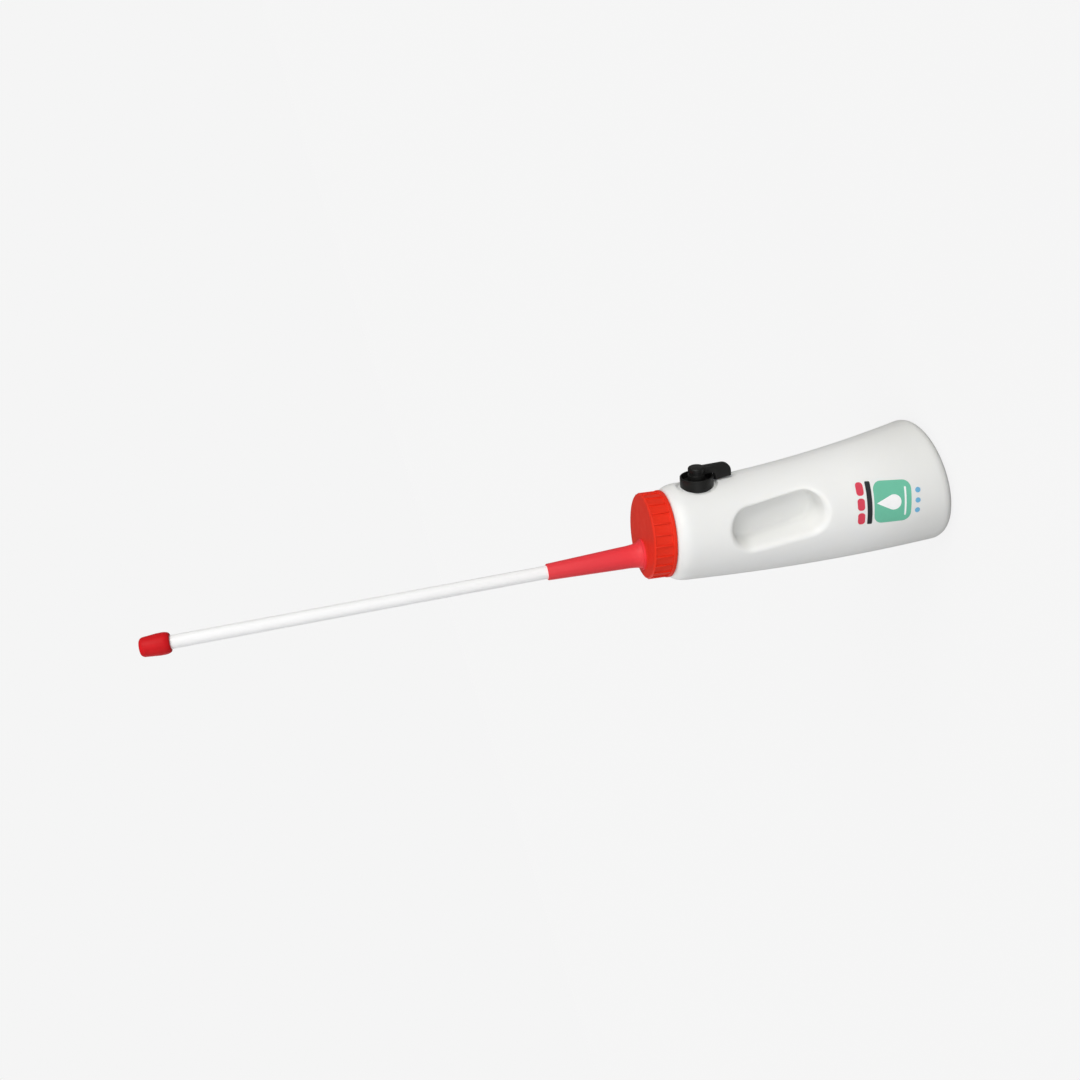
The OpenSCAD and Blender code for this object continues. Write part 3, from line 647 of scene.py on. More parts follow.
def red_rubber(finish):
    """Moulded soft red rubber: satin, slightly powdery, with a fine matt grain."""
    return moulded("soft_red_rubber", finish.tip, darker(finish.tip, 0.86), cloud_mm=7, grain_mm=0.5,
                   grain_depth_mm=0.015, rough=0.46, rough_spread=0.07, specular=0.12)


def black_nylon(finish):
    """Injection-moulded black nylon: satin, with an etched grain that catches soft light."""
    return moulded("black_nylon", finish.valve, darker(finish.valve, 1.5), cloud_mm=5, grain_mm=0.45,
                   grain_depth_mm=0.015, rough=0.42, rough_spread=0.07, specular=0.3)


def seal_rubber(finish):
    """Black nitrile rubber: dull, with a faint bloom."""
    return moulded("nitrile_rubber", finish.rubber, darker(finish.rubber, 1.4), cloud_mm=4, grain_mm=0.4,
                   grain_depth_mm=0.01, rough=0.6, rough_spread=0.08)


def natural_tube_plastic(finish):
    """Extruded natural polyethylene: milky and smooth."""
    return moulded("natural_pe_tube", finish.natural, darker(finish.natural, 0.95), cloud_mm=10,
                   grain_mm=0.8, grain_depth_mm=0.006, rough=0.35, rough_spread=0.05)


def print_ink(name, rgb):
    """Screen-printed ink: thin, a little glossier than the bottle, with a faint mesh texture."""
    return moulded(name, rgb, darker(rgb, 0.94), cloud_mm=3, grain_mm=0.35, grain_depth_mm=0.004,
                   rough=0.34, rough_spread=0.05)


def stainless_steel(finish):
    """Drawn stainless steel: bright metal with fine drawing lines."""
    material = moulded("stainless_steel", finish.steel, darker(finish.steel, 0.85), cloud_mm=1.5,
                       grain_mm=0.2, grain_depth_mm=0.004, rough=0.35, rough_spread=0.06,
                       stretch=(1, 1, 0.1))
    material.node_tree.nodes["Principled BSDF"].inputs["Metallic"].default_value = 1.0
    return material


# Bottle shapes

# Spacing of the skin's rings: on its plain stretch, and outside and inside where it is pressed in
PLAIN_GAP, OUTER_GAP, INNER_GAP = 5 * MM, 1 * MM, 3 * MM
# How far past the recess's far end the rings stay close
CLOSE_REACH = 36 * MM
# Height over which the recess's profile is drawn, and how far it reaches past the recess's wall
PROFILE_H, LIP_REACH = 20 * MM, 13.5 * MM
# How far inside and outside its diameter the valve's pad is eased into the skin
PAD_EASE_IN, PAD_EASE_OUT = 1.4 * MM, 1.6 * MM
# Half widths of a thread's ridge as shares of its pitch, at its foot, its edges and its crest
RIDGE_FOOT, NECK_EDGE, NECK_CREST, CAP_CREST = 0.29, 0.13, 0.07, 0.11
# How deep a thread is rooted in its wall
RIDGE_ROOT = 0.6 * MM


def body_radius(bottle, t):
    """Radius of the bottle's outer skin at distance t along its axis from the base."""
    rest = max(BODY_LEN - t, 0) / BODY_LEN
    return bottle.shoulder_d / 2 + (bottle.base_d - bottle.shoulder_d) / 2 * rest ** bottle.flare_power


def bend(point):
    """Takes a point from the straight bottle to the bent one."""
    t = min(point.z, BODY_LEN)
    lean = t / BEND_R
    axis = Vector((BEND_R * (1 - math.cos(lean)), 0, BEND_R * math.sin(lean)))
    side = Vector((math.cos(lean), 0, -math.sin(lean)))
    up = Vector((math.sin(lean), 0, math.cos(lean)))
    return axis + side * point.x + Vector((0, point.y, 0)) + up * (point.z - t)


def half_width(bottle, x, z, inset=0):
    """Distance from the mid-plane to the bottle's skin, straight along Y, at a place (x, z)."""
    t = math.atan2(z, BEND_R - x) * BEND_R
    offset = BEND_R - math.hypot(BEND_R - x, z)
    r = body_radius(bottle, t) - inset
    return math.sqrt(max(r * r - offset * offset, 0))


def body_stations(bottle, fine):
    """Distances along the axis at which the skin has a ring, close together where it is pressed in."""
    press_start = BODY_LEN - bottle.recess_far - CLOSE_REACH
    stops = [bottle.base_edge_r, press_start, BODY_LEN - bottle.shoulder_back]
    rings = []
    for start, end, gap in zip(stops, stops[1:], (PLAIN_GAP, fine)):
        n = max(1, round((end - start) / gap))
        rings += [start + (end - start) * (k + 1) / n for k in range(n)]
    return rings


def skin_outline(bottle, inset, fine, segments=10):
    """Outline of a skin of the straight bottle, from the middle of its base to its shoulder."""
    edge = bottle.base_edge_r - inset
    points = [(0, inset), ((bottle.base_d / 2 - bottle.base_edge_r) / 2, inset)]
    for k in range(segments + 1):
        a = math.pi / 2 * k / segments
        t = inset + edge * (1 - math.cos(a))
        points.append((body_radius(bottle, t) - inset - edge * (1 - math.sin(a)), t))
    points += [(body_radius(bottle, t) - inset, t) for t in body_stations(bottle, fine)]
    start_r, start = points[-1]
    rise = bottle.shoulder_back + bottle.shoulder_h - inset
    shoulder = arc(start_r - bottle.shoulder_in, start, bottle.shoulder_in, rise, 0, 90, segments)
    return points + shoulder[1:]


def recess_line(bottle):
    """Start and run of the recess's middle line in the mid-plane, as (x, z) pairs."""
    near = bend(Vector((bottle.recess_near_rise, 0, BODY_LEN - bottle.recess_near)))
    far = bend(Vector((bottle.recess_far_rise, 0, BODY_LEN - bottle.recess_far)))
    return Vector((near.x, near.z)), Vector((far.x - near.x, far.z - near.z))


def recess_profile(bottle, inset):
    """Knots from the place before pressing to the place after it, and to the share of the full height."""
    reach = bottle.recess_wall_r + LIP_REACH
    corners = [(0, 0, 0), (bottle.recess_floor_r + inset, 0, bottle.recess_foot),
               (bottle.recess_wall_r + inset, PROFILE_H, bottle.recess_lip), (reach, PROFILE_H, 0)]
    points = [Vector(p) for p in rounded(corners, closed=False, segments=12)]
    runs = [0.0]
    for a, b in zip(points, points[1:]):
        runs.append(runs[-1] + (b - a).length)
    before = [run * reach / runs[-1] for run in runs]
    places = [(a, p.x) for a, p in zip(before, points)]
    heights = [(a, p.y / PROFILE_H) for a, p in zip(before, points)]
    return places, heights


def press_recess(bottle, line, profile, point, inset):
    """Presses the finger recess into the skin on the side that the point lies on, and says how deep the
    point went as a share of the full depth."""
    start, run = line
    places, heights = profile
    flat = Vector((point.x, point.z))
    along = min(max((flat - start).dot(run) / run.length_squared, 0), 1)
    middle = start + run * along
    away = flat - middle
    if away.length >= places[-1][0]:
        return point, 0.0
    r = remap(away.length, places)
    height = remap(away.length, heights)
    place = middle + away * (r / max(away.length, WELD / 1000))
    skin = half_width(bottle, place.x, place.y, inset)
    floor = bottle.recess_floor_y - inset
    y = math.copysign(floor + (skin - floor) * height, point.y)
    return Vector((place.x, y, place.y)), 1 - height


def seat_pad(settings, point, frame_in, frame_out):
    """Flattens the round pad under the valve."""
    valve = settings.valve
    local = frame_in @ point
    away = math.hypot(local.x, local.y)
    flat_r = valve.pad_d / 2 - PAD_EASE_IN
    reach = valve.pad_d / 2 + PAD_EASE_OUT
    if local.z < 0 or away >= reach:
        return point
    level = valve.pad_h + (local.z - valve.pad_h) * smooth_step((away - flat_r) / (reach - flat_r))
    return frame_out @ Vector((local.x, local.y, level))


def wind_thread(bm, bottle, half, drop=0):
    """Winds a thread up the neck's axis. Half of its ridge is given as (radius, half width) points, with
    each width as a share of the pitch."""
    pitch = bottle.thread_pitch
    ridge = [(r, -share * pitch) for r, share in half]
    ridge += [(r, share * pitch) for r, share in reversed(half)]
    foot = Matrix.Translation((0, 0, bottle.shoulder_h + bottle.thread_foot - drop))
    helix(bm, ridge, neck_frame() @ foot, pitch, bottle.thread_turns)


class DRENCHER_OT_bottle(bpy.types.Operator):
    """Model the blow-moulded bottle with its finger recesses, valve pad and threaded neck"""

    bl_idname = "drencher.bottle"
    bl_label = "Bottle"

    def execute(self, context):
        settings = context.scene.drencher
        bottle = settings.bottle
        steps = 288
        neck_r = bottle.neck_d / 2
        bore_r = neck_r - bottle.neck_wall
        flat_z = BODY_LEN + bottle.shoulder_h
        mouth_z = flat_z + bottle.neck_h
        # The outer and the inner skin meet this far inside the neck's mouth
        join_depth = 2 * MM
        join_z = mouth_z - join_depth
        neck_fillet, mouth_round = 1 * MM, 0.8 * MM
        crest_r, crest_round = neck_r + bottle.thread_depth, 0.2 * MM
        # Vertices this close to the mid-plane carry the mould's parting line
        seam_half = 0.2 * MM
        bm = bmesh.new()
        # Each vertex's share of painted shade, greyer on the recess's floor and toward the base
        thinned = bm.verts.layers.float.new("thinned")
        wind_thread(bm, bottle, [(neck_r - RIDGE_ROOT, RIDGE_FOOT), (crest_r - crest_round, NECK_EDGE),
                                 (crest_r, NECK_CREST)])

        outer = skin_outline(bottle, 0, OUTER_GAP)
        outer += rounded([outer[-1] + (0,), (neck_r, flat_z, neck_fillet), (neck_r, mouth_z, mouth_round),
                          (bore_r, mouth_z, mouth_round), (bore_r, join_z, 0)], closed=False)[1:]
        frame_out = valve_frame(settings)
        frame_in = frame_out.inverted()
        line = recess_line(bottle)
        profile = recess_profile(bottle, 0)
        for vert in lathe(bm, outer, steps=steps, closed=False):
            if abs(vert.co.y) < seam_half and bottle.base_edge_r < vert.co.z < BODY_LEN:
                vert.co.x += math.copysign(bottle.seam_rise, vert.co.x)
            pressed = 0 < vert.co.z < BODY_LEN
            # Painted shade that grows toward the base
            base_shade = bottle.flare_shade * smooth_step(1 - vert.co.z / bottle.shade_below)
            vert.co = bend(vert.co)
            sunk = 0.0
            if pressed:
                vert.co, sunk = press_recess(bottle, line, profile, vert.co, 0)
                vert.co = seat_pad(settings, vert.co, frame_in, frame_out)
            # The painted shade is the deeper of the recess's share and the base's share
            vert[thinned] = max(bottle.recess_shade * sunk, base_shade)

        inner = skin_outline(bottle, bottle.wall, INNER_GAP, segments=5)
        profile = recess_profile(bottle, bottle.wall)
        inner += [(bore_r, inner[-1][1]), (bore_r, join_z)]
        for vert in lathe(bm, inner, steps=steps, closed=False):
            pressed = bottle.wall < vert.co.z < BODY_LEN
            vert.co = bend(vert.co)
            if pressed:
                vert.co, _ = press_recess(bottle, line, profile, vert.co, bottle.wall)
        bmesh.ops.remove_doubles(bm, verts=bm.verts, dist=2 * WELD)
        make_piece("bottle_shell", bm, natural_polyethylene(settings.finish), "bottle", "bottle_hdpe",
                   "bottle")
        return {"FINISHED"}


# Print on the bottle

# Strips into which the ink is cut along and across the bottle, so that it follows its skin
STRIP_LEN, STRIP_W = 3 * MM, 1.5 * MM


def block(x, y, w, h, fillet):
    """Outline of a rounded rectangle, centred on (x, y)."""
    sides = ((-1, -1), (1, -1), (1, 1), (-1, 1))
    return rounded([(x + i * w / 2, y + j * h / 2, fillet) for i, j in sides])


def ink_shape(bm, bottle, outline, lift):
    """Lays a flat outline, as (distance from the shoulder, offset toward the valve) points, on the
    bottle's -Y side."""
    old = set(bm.verts)
    bm.faces.new([bm.verts.new((x, y, 0)) for x, y in outline])
    for axis, gap in ((Vector((1, 0, 0)), STRIP_LEN), (Vector((0, 1, 0)), STRIP_W)):
        places = [axis.dot((x, y, 0)) for x, y in outline]
        low, high = min(places), max(places)
        strips = max(1, round((high - low) / gap))
        for k in range(1, strips):
            bmesh.ops.bisect_plane(bm, geom=with_faces(new_verts(bm, old)), dist=WELD / 10,
                                   plane_co=axis * (low + (high - low) * k / strips), plane_no=axis)
    side = Vector((UP.z, 0, -UP.x))
    for vert in new_verts(bm, old):
        place = NECK - UP * vert.co.x + side * vert.co.y
        place.y = -half_width(bottle, place.x, place.z) - lift
        vert.co = place


class DRENCHER_OT_print(bpy.types.Operator):
    """Lay a plain printed drop sign on the bottle"""

    bl_idname = "drencher.print"
    bl_label = "Print"

    def execute(self, context):
        settings = context.scene.drencher
        finish, sign = settings.finish, settings.sign
        mid_s, mid_y = sign.back, sign.rise
        drop_s = mid_s + sign.drop_at
        # The drop's round end turns this many degrees each way before it runs straight to its point
        sweep = 118
        drop = [(drop_s - sign.drop_len, mid_y)]
        drop += arc(drop_s, mid_y, sign.drop_r, sign.drop_r, -sweep, sweep, segments=32)
        inks = {
            "print_teal": (finish.print_teal, sign.ink_lift, [
                block(mid_s, mid_y, sign.panel_w, sign.panel_h, sign.panel_r)]),
            "print_white": (finish.tube, sign.top_lift, [
                drop, block(mid_s + sign.line_at, mid_y, sign.line_w, sign.line_h, sign.line_r)]),
            "print_dark": (finish.print_dark, sign.ink_lift, [
                block(mid_s + sign.bar_at, mid_y, sign.bar_w, sign.panel_h, sign.bar_r)]),
            "print_red": (finish.print_red, sign.ink_lift, [
                block(mid_s + sign.dash_at, mid_y + k * sign.dash_gap, sign.dash_w, sign.dash_h,
                      sign.dash_r) for k in (-1, 0, 1)]),
            "print_blue": (finish.print_blue, sign.ink_lift, [
                arc(mid_s + sign.dot_at, mid_y + k * sign.dot_gap, sign.dot_r, sign.dot_r, 0, 360,
                    segments=48)[1:] for k in (-1, 0, 1)]),
        }
        for name, (rgb, lift, outlines) in inks.items():
            bm = bmesh.new()
            for outline in outlines:
                ink_shape(bm, settings.bottle, outline, lift)
            bmesh.ops.recalc_face_normals(bm, faces=bm.faces)
            if sum(f.normal.y for f in bm.faces) > 0:
                bmesh.ops.reverse_faces(bm, faces=bm.faces)
            bmesh.ops.solidify(bm, geom=bm.faces, thickness=sign.ink_t)
            make_piece(name, bm, print_ink(name + "_ink", rgb), "bottle", "bottle_hdpe")
        return {"FINISHED"}


class DRENCHER_OT_cap(bpy.types.Operator):
    """Model the screw cap with its grip ribs and inner thread"""

    bl_idname = "drencher.cap"
    bl_label = "Screw cap"

    def execute(self, context):
        settings = context.scene.drencher
        cap, bottle = settings.cap, settings.bottle
        bore_r, skirt_r = cap.bore_d / 2, cap.skirt_d / 2
        band_r, rim_r = cap.band_d / 2, cap.rim_d / 2
        foot_z = cap.rear_z + cap.rim_w
        top_z = cap.front_z - cap.band_w
        corner_fillet, mouth_round, rim_round = 0.8 * MM, 0.5 * MM, 0.9 * MM
        groove_foot, groove_head = 0.4 * MM, 0.3 * MM
        # Each rib is rooted in the skirt, and runs on into the rim and the band
        rib_root, rib_overrun, rib_round = 1 * MM, 0.8 * MM, 0.15 * MM
        thread_gap = 0.4 * MM
        bm = bmesh.new()

        # The grooves between the ribs run out into the rounded front edge
        edge_start = math.degrees(math.asin(1 - cap.band_w / cap.edge_r))
        edge = arc(band_r - cap.edge_r, cap.front_z - cap.edge_r, cap.edge_r, cap.edge_r, edge_start, 90,
                   segments=8)
        shell = rounded([
            (0, cap.inner_z, 0), (bore_r, cap.inner_z, corner_fillet), (bore_r, cap.rear_z, mouth_round),
            (rim_r, cap.rear_z, rim_round), (rim_r, foot_z, rim_round), (skirt_r, foot_z, groove_foot),
            (skirt_r, top_z, groove_head), edge[0] + (0,)], closed=False)
        shell += edge[1:] + [(band_r / 2, cap.front_z), (0, cap.front_z)]
        lathe(bm, shell, neck_frame(), steps=192, closed=False)

        deep = cap.rib_proud + rib_root
        size = Matrix.Diagonal((deep, cap.rib_w, top_z - foot_z + rib_overrun, 1))
        place = Matrix.Translation((skirt_r + cap.rib_proud - deep / 2, 0, (top_z + foot_z) / 2))
        ribs = []
        for k in range(cap.ribs):
            rib = bmesh.ops.create_cube(bm, size=1)["verts"]
            turn = Matrix.Rotation(FULL_TURN * (k + 0.5) / cap.ribs, 4, "Z")
            bmesh.ops.transform(bm, matrix=neck_frame() @ turn @ place @ size, verts=rib)
            ribs += rib
        bmesh.ops.bevel(bm, geom=edges_of(ribs), offset=rib_round, offset_type="OFFSET", segments=2,
                        profile=0.5, affect="EDGES", material=-1)

        root_r, crest_r = bore_r + RIDGE_ROOT, bottle.neck_d / 2 + thread_gap
        wind_thread(bm, bottle, [(root_r, RIDGE_FOOT), (crest_r, CAP_CREST)], drop=bottle.thread_pitch / 2)
        make_piece("screw_cap_shell", bm, red_polypropylene(settings.finish), "cap", "cap_red", "screw_cap")
        return {"FINISHED"}


class DRENCHER_OT_spout(bpy.types.Operator):
    """Model the spout with its collar, shank and flared root"""

    bl_idname = "drencher.spout"
    bl_label = "Spout"

    def execute(self, context):
        settings = context.scene.drencher
        probe = settings.probe
        bore_r = probe.tube_bore / 2
        socket_r = probe.tube_d / 2 + FIT
        lip_r = probe.tube_d / 2 + probe.lip_wall
        root_r = probe.root_d / 2
        shank_r, collar_r = probe.shank_d / 2, probe.collar_d / 2
        # The straight foot is a sleeve, this much wider than the bore of the leaning cone
        sleeve_gap = 1.5 * MM
        sleeve_r = bore_r + sleeve_gap
        shank_round, collar_round, lip_round, mouth_round = 0.5 * MM, 0.4 * MM, 0.6 * MM, 0.4 * MM
        start, end = probe.collar_t / 2, probe.spout_len
        bm = bmesh.new()
        foot = rounded([
            (sleeve_r, -probe.shank_len, 0), (shank_r, -probe.shank_len, shank_round), (shank_r, 0, 0),
            (collar_r, 0, 0), (collar_r, probe.collar_t, collar_round), (sleeve_r, probe.collar_t, 0)])
        lathe(bm, foot, spout_frame(settings), steps=128)
        cone = [(bore_r, start)]
        cone += arc(root_r + probe.flare, start + probe.flare_len, probe.flare, probe.flare_len, 270, 180,
                    segments=12)
        cone += rounded([cone[-1] + (0,), (lip_r, end, lip_round), (socket_r, end, mouth_round),
                         (socket_r, end - probe.socket, 0)], closed=False)[1:]
        cone.append((bore_r, end - probe.socket))
        lathe(bm, cone, tube_frame(settings), steps=128)
        make_piece("spout_body", bm, soft_red_polyethylene(settings.finish), "cap", "spout_red", "spout")
        return {"FINISHED"}


class DRENCHER_OT_probe(bpy.types.Operator):
    """Model the probe tube and its soft tip"""

    bl_idname = "drencher.probe"
    bl_label = "Probe tube and tip"

    def execute(self, context):
        settings = context.scene.drencher
        probe = settings.probe
        bore_r, tube_r = probe.tube_bore / 2, probe.tube_d / 2
        low = probe.spout_len - probe.socket
        tip_at = probe.spout_len + probe.tube_shown
        high = tip_at + probe.tip_socket
        bore_round, end_round = 0.5 * MM, 0.6 * MM
        bm = bmesh.new()
        lathe(bm, rounded([(bore_r, low, bore_round), (tube_r, low, end_round), (tube_r, high, end_round),
                           (bore_r, high, bore_round)]), tube_frame(settings), steps=96)
        make_piece("probe_tube", bm, white_tube_plastic(settings.finish), "cap", "tube_white",
                   "drench_tube")

        belly_r, front_r, outlet_r = probe.tip_d / 2, probe.tip_front_d / 2, probe.tip_outlet_d / 2
        # The tip swells from its rear lip to its belly, and tapers to its blunt front
        lip, belly_share, belly_end_share = 2.6 * MM, 0.24, 0.38
        belly, belly_end = probe.tip_len * belly_share, probe.tip_len * belly_end_share
        belly_round, front_round, outlet_round = 12 * MM, 4.6 * MM, 1 * MM
        socket_r = tube_r + FIT
        outline = [(socket_r, 0)] + arc(belly_r - lip, belly, lip, belly, -90, 0, segments=12)[1:]
        outline += rounded([outline[-1] + (0,), (belly_r, belly_end, belly_round),
                            (front_r, probe.tip_len, front_round), (outlet_r, probe.tip_len, outlet_round),
                            (outlet_r, probe.tip_socket, 0)], closed=False, segments=10)[1:]
        outline.append((socket_r, probe.tip_socket))
        bm = bmesh.new()
        lathe(bm, outline, tube_frame(settings) @ Matrix.Translation((0, 0, tip_at)), steps=96)
        make_piece("soft_tip", bm, red_rubber(settings.finish), "cap", "tip_red", "tube_tip")
        return {"FINISHED"}


class DRENCHER_OT_valve(bpy.types.Operator):
    """Model the air valve's cup, lever and button"""

    bl_idname = "drencher.valve"
    bl_label = "Air valve"

    def execute(self, context):
        settings = context.scene.drencher
        valve = settings.valve
        nylon = black_nylon(settings.finish)
        place = valve_frame(settings)
        self.cup(valve, nylon, place)
        self.lever(valve, nylon, place)
        self.button(valve, nylon, place)
        return {"FINISHED"}

    def cup(self, valve, nylon, place):
        """Open cup on a hollow stem, with a slow and a fast port in its floor and a barb under it."""
        cup_r, stem_r, post_r = valve.cup_d / 2, valve.stem_d / 2, valve.post_d / 2
        inside_r = cup_r - valve.cup_wall
        chamber_r, screw_r = valve.chamber_d / 2, valve.screw_d / 2
        barb_r, barb_bore_r = valve.barb_d / 2, valve.barb_bore / 2
        post_floor = 0.2 * MM
        post_end = valve.seat_h - valve.post_len
        hole_end = post_end + post_floor
        foot_top = valve.stem_end_h + valve.stem_foot_t
        barb_end = valve.stem_end_h - valve.barb_len
        floor_fillet, barb_fillet = 1 * MM, 0.3 * MM
        cup_round, edge_round = 0.6 * MM, 0.5 * MM
        # Both faces of the floor have rings close enough to open the ports between them
        ring_gap, ring_count = 0.3 * MM, 17
        rings = [post_r + ring_gap * (k + 1) for k in range(ring_count)]
        bm = bmesh.new()
        lathe(bm, rounded(
            [(0, hole_end, 0), (screw_r, hole_end, 0), (screw_r, valve.floor_h, 0)]
            + [(r, valve.floor_h, 0) for r in rings]
            + [(inside_r, valve.floor_h, floor_fillet), (inside_r, valve.rim_h, edge_round),
               (cup_r, valve.rim_h, cup_round), (cup_r, valve.seat_h, cup_round), (stem_r, valve.seat_h, 0),
               (stem_r, valve.stem_end_h, edge_round), (barb_r, valve.stem_end_h, barb_fillet),
               (barb_r, barb_end, edge_round), (barb_bore_r, barb_end, 0), (barb_bore_r, foot_top, 0),
               (chamber_r, foot_top, 0), (chamber_r, valve.seat_h, 0)]
            + [(r, valve.seat_h, 0) for r in reversed(rings)]
            + [(post_r, valve.seat_h, 0), (post_r, post_end, 0), (0, post_end, 0)], closed=False),
            steps=128, closed=False)
        for turn, d in ((valve.port_turn, valve.slow_port_d), (-valve.port_turn, valve.fast_port_d)):
            bore_plate(bm, -valve.port_r * math.cos(turn), -valve.port_r * math.sin(turn), d / 2)
        bmesh.ops.transform(bm, matrix=place, verts=bm.verts)
        make_piece("valve_cup_body", bm, nylon, "bottle", "valve_black", "valve_cup")

    def lever(self, valve, nylon, place):
        """Rotor with its vent, hub and paddle."""
        hub_r, foot_r = valve.hub_d / 2, valve.hub_foot_d / 2
        bore_r, rotor_r = valve.hub_bore / 2, valve.rotor_d / 2
        screw_r = valve.screw_d / 2 + FIT
        rotor_top = valve.rotor_h + valve.rotor_t
        rotor_under, rotor_round = 0.4 * MM, 0.7 * MM
        foot_round, foot_fillet, hub_round, bore_round = 0.5 * MM, 0.2 * MM, 0.6 * MM, 0.3 * MM
        # Both faces of the rotor have rings close enough to open the vent between them
        ring_gap, ring_count = 0.47 * MM, 10
        rings = [foot_r + ring_gap * (k + 1) for k in range(ring_count)]
        bm = bmesh.new()
        lathe(bm, rounded(
            [(screw_r, valve.rotor_h, 0)] + [(r, valve.rotor_h, 0) for r in rings]
            + [(rotor_r, valve.rotor_h, rotor_under), (rotor_r, rotor_top, rotor_round)]
            + [(r, rotor_top, 0) for r in reversed(rings)]
            + [(foot_r, rotor_top, 0), (foot_r, valve.hub_foot_h, foot_round),
               (hub_r, valve.hub_foot_h, foot_fillet), (hub_r, valve.hub_h, hub_round),
               (bore_r, valve.hub_h, bore_round), (bore_r, valve.hub_floor_h, 0),
               (screw_r, valve.hub_floor_h, 0)]), steps=128)
        bore_plate(bm, -valve.vent_r, 0, valve.vent_d / 2)

        # The paddle starts inside the hub, clears the cup's rim and hangs down past it
        root_share, rim_gap = 0.8, 0.5 * MM
        root, rim_clear = hub_r * root_share, valve.rim_h + rim_gap
        step_fillet, heel_round, toe_round = 0.8 * MM, 0.6 * MM, 1.6 * MM
        side_round, side_border = 1.3 * MM, 0.25 * MM
        outline = rounded([
            (root, valve.paddle_h, 0), (root, rim_clear, 0), (valve.paddle_step, rim_clear, step_fillet),
            (valve.paddle_step, valve.paddle_inner_h, heel_round),
            (valve.paddle_len, valve.paddle_foot_h, toe_round),
            (valve.paddle_len, valve.paddle_h, valve.paddle_corner)], segments=8)
        half = valve.paddle_t / 2
        near = bm.faces.new([bm.verts.new((x, -half, z)) for x, z in outline])
        grown = bmesh.ops.extrude_face_region(bm, geom=[near], use_keep_orig=True)["geom"]
        far = next(g for g in grown if isinstance(g, bmesh.types.BMFace))
        bmesh.ops.translate(bm, vec=(0, valve.paddle_t, 0), verts=far.verts)
        edges = list(near.edges) + list(far.edges)
        bmesh.ops.bevel(bm, geom=edges, offset=side_round, offset_type="OFFSET", segments=4, profile=0.5,
                        affect="EDGES", material=-1)
        # A narrow border round each flat side, a face with many corners, keeps its shading flat
        many = 12
        sides = [f for f in bm.faces if len(f.verts) > many]
        bmesh.ops.inset_individual(bm, faces=sides, thickness=side_border)
        bmesh.ops.transform(bm, matrix=place, verts=bm.verts)
        make_piece("valve_lever_body", bm, nylon, "lever", "valve_black", "valve_lever")

    def button(self, valve, nylon, place):
        """Flat button with a wide rounded edge, and its hollow plug in the hub."""
        button_r, plug_r = valve.button_d / 2, valve.hub_bore / 2 - FIT
        base, top = valve.hub_h, valve.hub_h + valve.button_t
        plug_wall = 1.1 * MM
        hollow_r = plug_r - plug_wall
        hollow_z, plug_z = base + valve.button_plug, base - valve.button_plug
        # The flat top falls a little to its wide rounded edge
        crown_fall, edge_fall = 0.1 * MM, 0.4 * MM
        crown_round, edge_round, foot_round = 3 * MM, 2 * MM, 0.3 * MM
        bm = bmesh.new()
        lathe(bm, rounded([
            (0, hollow_z, 0), (hollow_r, hollow_z, 0), (hollow_r, plug_z, 0), (plug_r, plug_z, foot_round),
            (plug_r, base, 0), (button_r, base, foot_round), (button_r, top - edge_fall, edge_round),
            (button_r / 2, top - crown_fall, crown_round), (0, top, 0)],
            closed=False, segments=8), place, steps=96, closed=False)
        make_piece("pivot_button_cap", bm, nylon, "lever", "valve_black", "pivot_button")


class DRENCHER_OT_inner(bpy.types.Operator):
    """Finish the small pieces inside the cap and the valve"""

    bl_idname = "drencher.inner"
    bl_label = "Inner pieces"

    def execute(self, context):
        settings = context.scene.drencher
        finish, inner = settings.finish, settings.inner
        steel, natural = stainless_steel(finish), natural_tube_plastic(finish)
        place = valve_frame(settings)

        bm = bmesh.new()
        wire_r = inner.spring_wire / 2
        pitch = (inner.spring_top_h - inner.spring_foot_h - inner.spring_wire) / inner.spring_turns
        wire_z = inner.spring_foot_h + wire_r
        wire = arc(inner.spring_d / 2, wire_z, wire_r, wire_r, 0, 360, segments=12)[1:]
        helix(bm, wire, place, pitch, inner.spring_turns)
        make_piece("valve_spring_wire", bm, steel, "bottle", "steel", "valve_spring")

        bm = bmesh.new()
        route = inner.breather_lead, inner.breather_bend_r, inner.breather_turn, inner.breather_run
        outer = bent_tube(bm, inner.breather_d / 2, *route)
        bore = bent_tube(bm, inner.breather_bore / 2, *route)
        for outer_ring, bore_ring in zip(outer, bore):
            bmesh.ops.bridge_loops(bm, edges=outer_ring + bore_ring)
        foot = Matrix.Translation((0, 0, inner.breather_h))
        bmesh.ops.transform(bm, matrix=place @ foot, verts=bm.verts)
        make_piece("breather_tube_skin", bm, natural, "bottle", "natural_pe", "breather_tube")

        groups = {
            seal_rubber(finish): ["cap_seal", "spout_seal", "tube_ring", "valve_gasket", "valve_seal"],
            steel: ["spring_washer", "pivot_screw"],
            natural: ["valve_washer"],
            bpy.data.materials["soft_red_polyethylene"]: ["spout_nut"],
            bpy.data.materials["black_nylon"]: ["valve_nut"],
        }
        for material, names in groups.items():
            for name in names:
                slots = frame["nodes"][name].data.materials
                slots.clear()
                slots.append(material)
        return {"FINISHED"}


